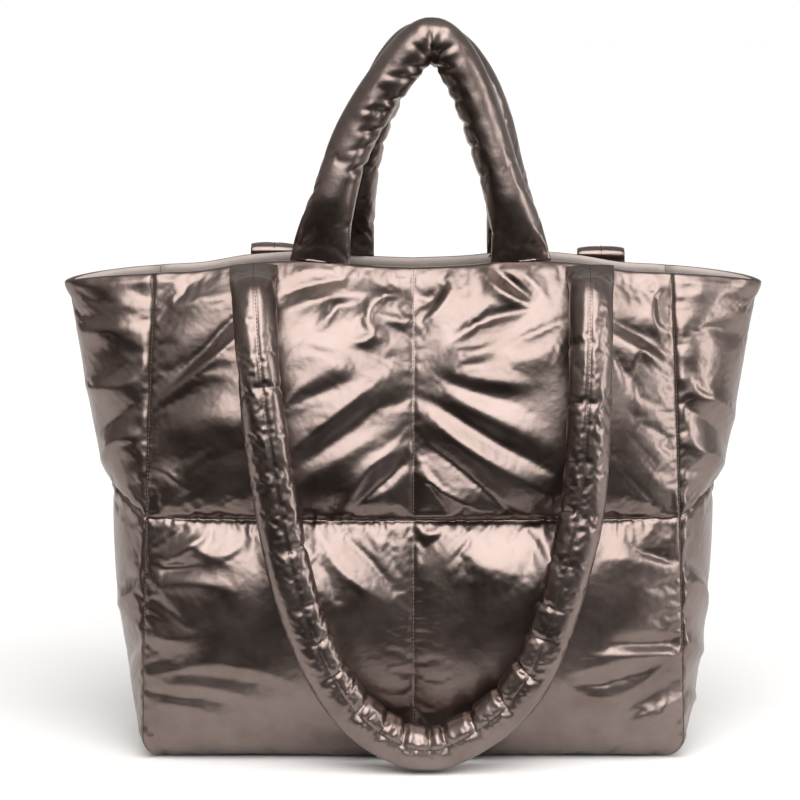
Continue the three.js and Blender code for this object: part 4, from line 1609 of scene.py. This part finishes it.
@dataclass(frozen=True)
class Studio:
    """The room that the bag is seen in: a pale floor, soft lamps and the camera."""

    eye: tuple[float, float, float] = (-0.00936, -2.6, 0.614)
    aim: tuple[float, float, float] = (-0.00936, 0.0, 0.2485)
    lens: float = 164.1
    # The floor's sheet of paper: where its front edge lies, half its width and its shade.
    paper_front: float = -0.24
    paper_half: float = 6.0
    paper: str = "#F4F3F2"
    # The lamp overhead: the way to it, its power, and how wide it looks from the bag, in degrees.
    overhead_way: tuple[float, float, float] = (0.04, -0.8, 0.9)
    overhead_power: float = 3.5
    overhead_width: float = 60.0
    ceiling: str = "#A8A6A4"
    # Degrees from straight behind the bag, shade and brightness of the room's walls.
    walls: tuple[tuple[float, str, float], ...] = (
        (-180, "#FFF4EC", 0.02),
        (-125, "#FFE0C8", 0.03),
        (-95, "#E8A878", 0.06),
        (-62, "#D89468", 0.11),
        (-42, "#E0A888", 0.17),
        (-27, "#FFF0E6", 0.6),
        (-18, "#FFFFFF", 1.0),
        (25, "#FFFFFF", 1.0),
        (50, "#FFFFFF", 0.6),
        (95, "#FDFFFA", 0.35),
        (135, "#FFFFFF", 0.14),
        (180, "#FFF4EC", 0.02),
    )

    def build(self) -> None:
        """Sets the camera, the lamps, the sky and the floor up."""
        self.camera()
        self.sky()
        self.floor()
        self.overhead()
        self.lamp("right strip", (1.7, -0.7, 0.7), (0.3, 1.3), 10.0)
        bpy.context.scene.view_settings.view_transform = "Standard"

    def overhead(self) -> None:
        """Hangs a wide soft lamp high in front, as even as a lamp far away."""
        data = bpy.data.lights.new("overhead", "SUN")
        data.energy, data.angle = self.overhead_power, math.radians(self.overhead_width)
        turn = Vector(self.overhead_way).to_track_quat("Z", "Y")
        link("overhead", data).rotation_euler = turn.to_euler()

    def camera(self) -> None:
        """Places the camera at the photograph's angle."""
        data = bpy.data.cameras.new("camera")
        data.lens, data.sensor_width = self.lens, 36.0
        camera = link("camera", data)
        camera.location = self.eye
        sight = Vector(self.aim) - Vector(self.eye)
        camera.rotation_euler = sight.to_track_quat("-Z", "Y").to_euler()
        bpy.context.scene.camera = camera

    @staticmethod
    def lamp(
        name: str, place: tuple[float, float, float], size: tuple[float, float], power: float
    ) -> None:
        """Hangs a soft box that faces the bag.

        Args:
            name: what the lamp is called.
            place: where it hangs, in metres.
            size: its width and height, in metres.
            power: its power, in watts.
        """
        data = bpy.data.lights.new(name, "AREA")
        data.shape = "RECTANGLE"
        data.size, data.size_y = size
        data.energy = power
        lamp = link(name, data)
        lamp.location = place
        lamp.rotation_euler = (Vector((0, 0, 0.2)) - Vector(place)).to_track_quat("-Z", "Y").to_euler()

    def sky(self) -> None:
        """Makes the room white behind the bag and dark in front of it, with a warm wall to the left."""
        world = bpy.data.worlds.new("studio")
        bpy.context.scene.world = world
        world.use_nodes = True
        tree = world.node_tree
        ground = tree.nodes["Background"]
        way = add_node(tree, "ShaderNodeTexCoord").outputs["Generated"]
        parts = add_node(tree, "ShaderNodeSeparateXYZ", None, Vector=way)
        turn = add_node(tree, "ShaderNodeMath", {"operation": "ARCTAN2"})
        tree.links.new(parts.outputs["X"], turn.inputs[0])
        tree.links.new(parts.outputs["Y"], turn.inputs[1])
        whole = {"From Min": -math.pi, "From Max": math.pi}
        share = add_node(tree, "ShaderNodeMapRange", whole, Value=turn.outputs["Value"])
        room = add_node(tree, "ShaderNodeValToRGB", None, Fac=share.outputs["Result"])
        ramp = room.color_ramp
        while len(ramp.elements) < len(self.walls):
            ramp.elements.new(0.5)
        for element, (degrees, shade, strength) in zip(ramp.elements, self.walls):
            element.position = 0.5 + degrees / 360
            element.color = dimmed(shade, strength)
        # The walls pass into the ceiling between these heights, as the sine of the angle up.
        climb = {"From Min": 0.03, "From Max": 0.4}
        high = add_node(tree, "ShaderNodeMapRange", climb, Value=parts.outputs["Z"])
        ceiling = add_node(tree, "ShaderNodeMix", {"data_type": "RGBA", "blend_type": "MIX"})
        tree.links.new(high.outputs["Result"], ceiling.inputs[0])
        tree.links.new(room.outputs["Color"], ceiling.inputs[6])
        ceiling.inputs[7].default_value = linear(self.ceiling)
        ray = add_node(tree, "ShaderNodeLightPath")
        seen = add_node(tree, "ShaderNodeMix", {"data_type": "RGBA", "blend_type": "MIX"})
        tree.links.new(ray.outputs["Is Camera Ray"], seen.inputs[0])
        tree.links.new(ceiling.outputs[2], seen.inputs[6])
        seen.inputs[7].default_value = (1.0, 1.0, 1.0, 1.0)
        tree.links.new(seen.outputs[2], ground.inputs["Color"])

    def floor(self) -> None:
        """Lays a wide sheet of white paper under the bag."""
        bm = bmesh.new()
        bmesh.ops.create_grid(bm, x_segments=1, y_segments=1, size=self.paper_half)
        bmesh.ops.translate(bm, verts=bm.verts, vec=(0.0, self.paper_half + self.paper_front, 0.0))
        mesh = closed_up(bm, bpy.data.meshes.new("floor"))
        floor = link("floor", mesh)
        # White backdrop paper, uncoated: matt, with no gloss at this distance.
        paper, _, shader = blank_material("backdrop paper")
        shader.inputs["Base Color"].default_value = linear(self.paper)
        shader.inputs["Roughness"].default_value = 0.9
        shader.inputs["Specular IOR Level"].default_value = 0.1
        mesh.materials.append(paper)


def main() -> None:
    """Builds the bag piece by piece in its studio, and notes its size."""
    logging.basicConfig(level=logging.INFO, format="%(message)s")
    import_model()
    bpy.context.view_layer.update()
    form = BagForm()
    nylon, lining = MetallicNylon().build(), SatinLining().build()
    Studio().build()
    panel = PaddedWall(form, "front_panel")
    front = panel.build(nylon, lining)
    right = PaddedWall(form, "right_gusset", bent=True).build(nylon, lining)
    padding = panel.cloth.reshape(-1, 3)
    sling = Strap(form, "front_strap", pinches=STRAP_PINCHES, panel=padding, line=STRAP_LINE)
    strap = sling.build(nylon)
    back_sling = replace(sling, name="back_strap", turned=True, shift=BACK_SHIFT, folded=True)
    back_strap = back_sling.build(nylon)
    dark = PolyesterThread().build("brown polyester thread")
    light = PolyesterThread("#8A7B72").build("taupe polyester thread")
    sewing = Stitching(2.8)
    for name, seams, thread, turned in (
        ("front_panel", panel.seams(), light, False),
        ("back_panel", panel.seams(), light, True),
        ("front_strap", tube_seams(sling.cloth), dark, False),
        ("back_strap", tube_seams(back_sling.cloth), dark, True),
    ):
        sewn = sewing.build(name + "_stitches", seams, thread)
        put_on(sewn, turned)
        LOG.info("%s: %d faces", sewn.name, len(sewn.data.polygons))
    handle = Handle(form, "front_handle", pinches=HANDLE_PINCHES, arch=FRONT_ARCH)
    back_handle = replace(
        handle, name="back_handle", arch=BACK_ARCH, turned=True, gather_seed=31, shift=BACK_SHIFT
    )
    pieces = [
        front,
        twin(front, "back_panel"),
        right,
        twin(right, "left_gusset"),
        BasePanel(form).build(nylon),
        handle.build(nylon),
        back_handle.build(nylon),
        strap,
        back_strap,
    ]
    for piece in pieces:
        LOG.info("%s: %d faces", piece.name, len(piece.data.polygons))


if __name__ == "__main__":
    main()
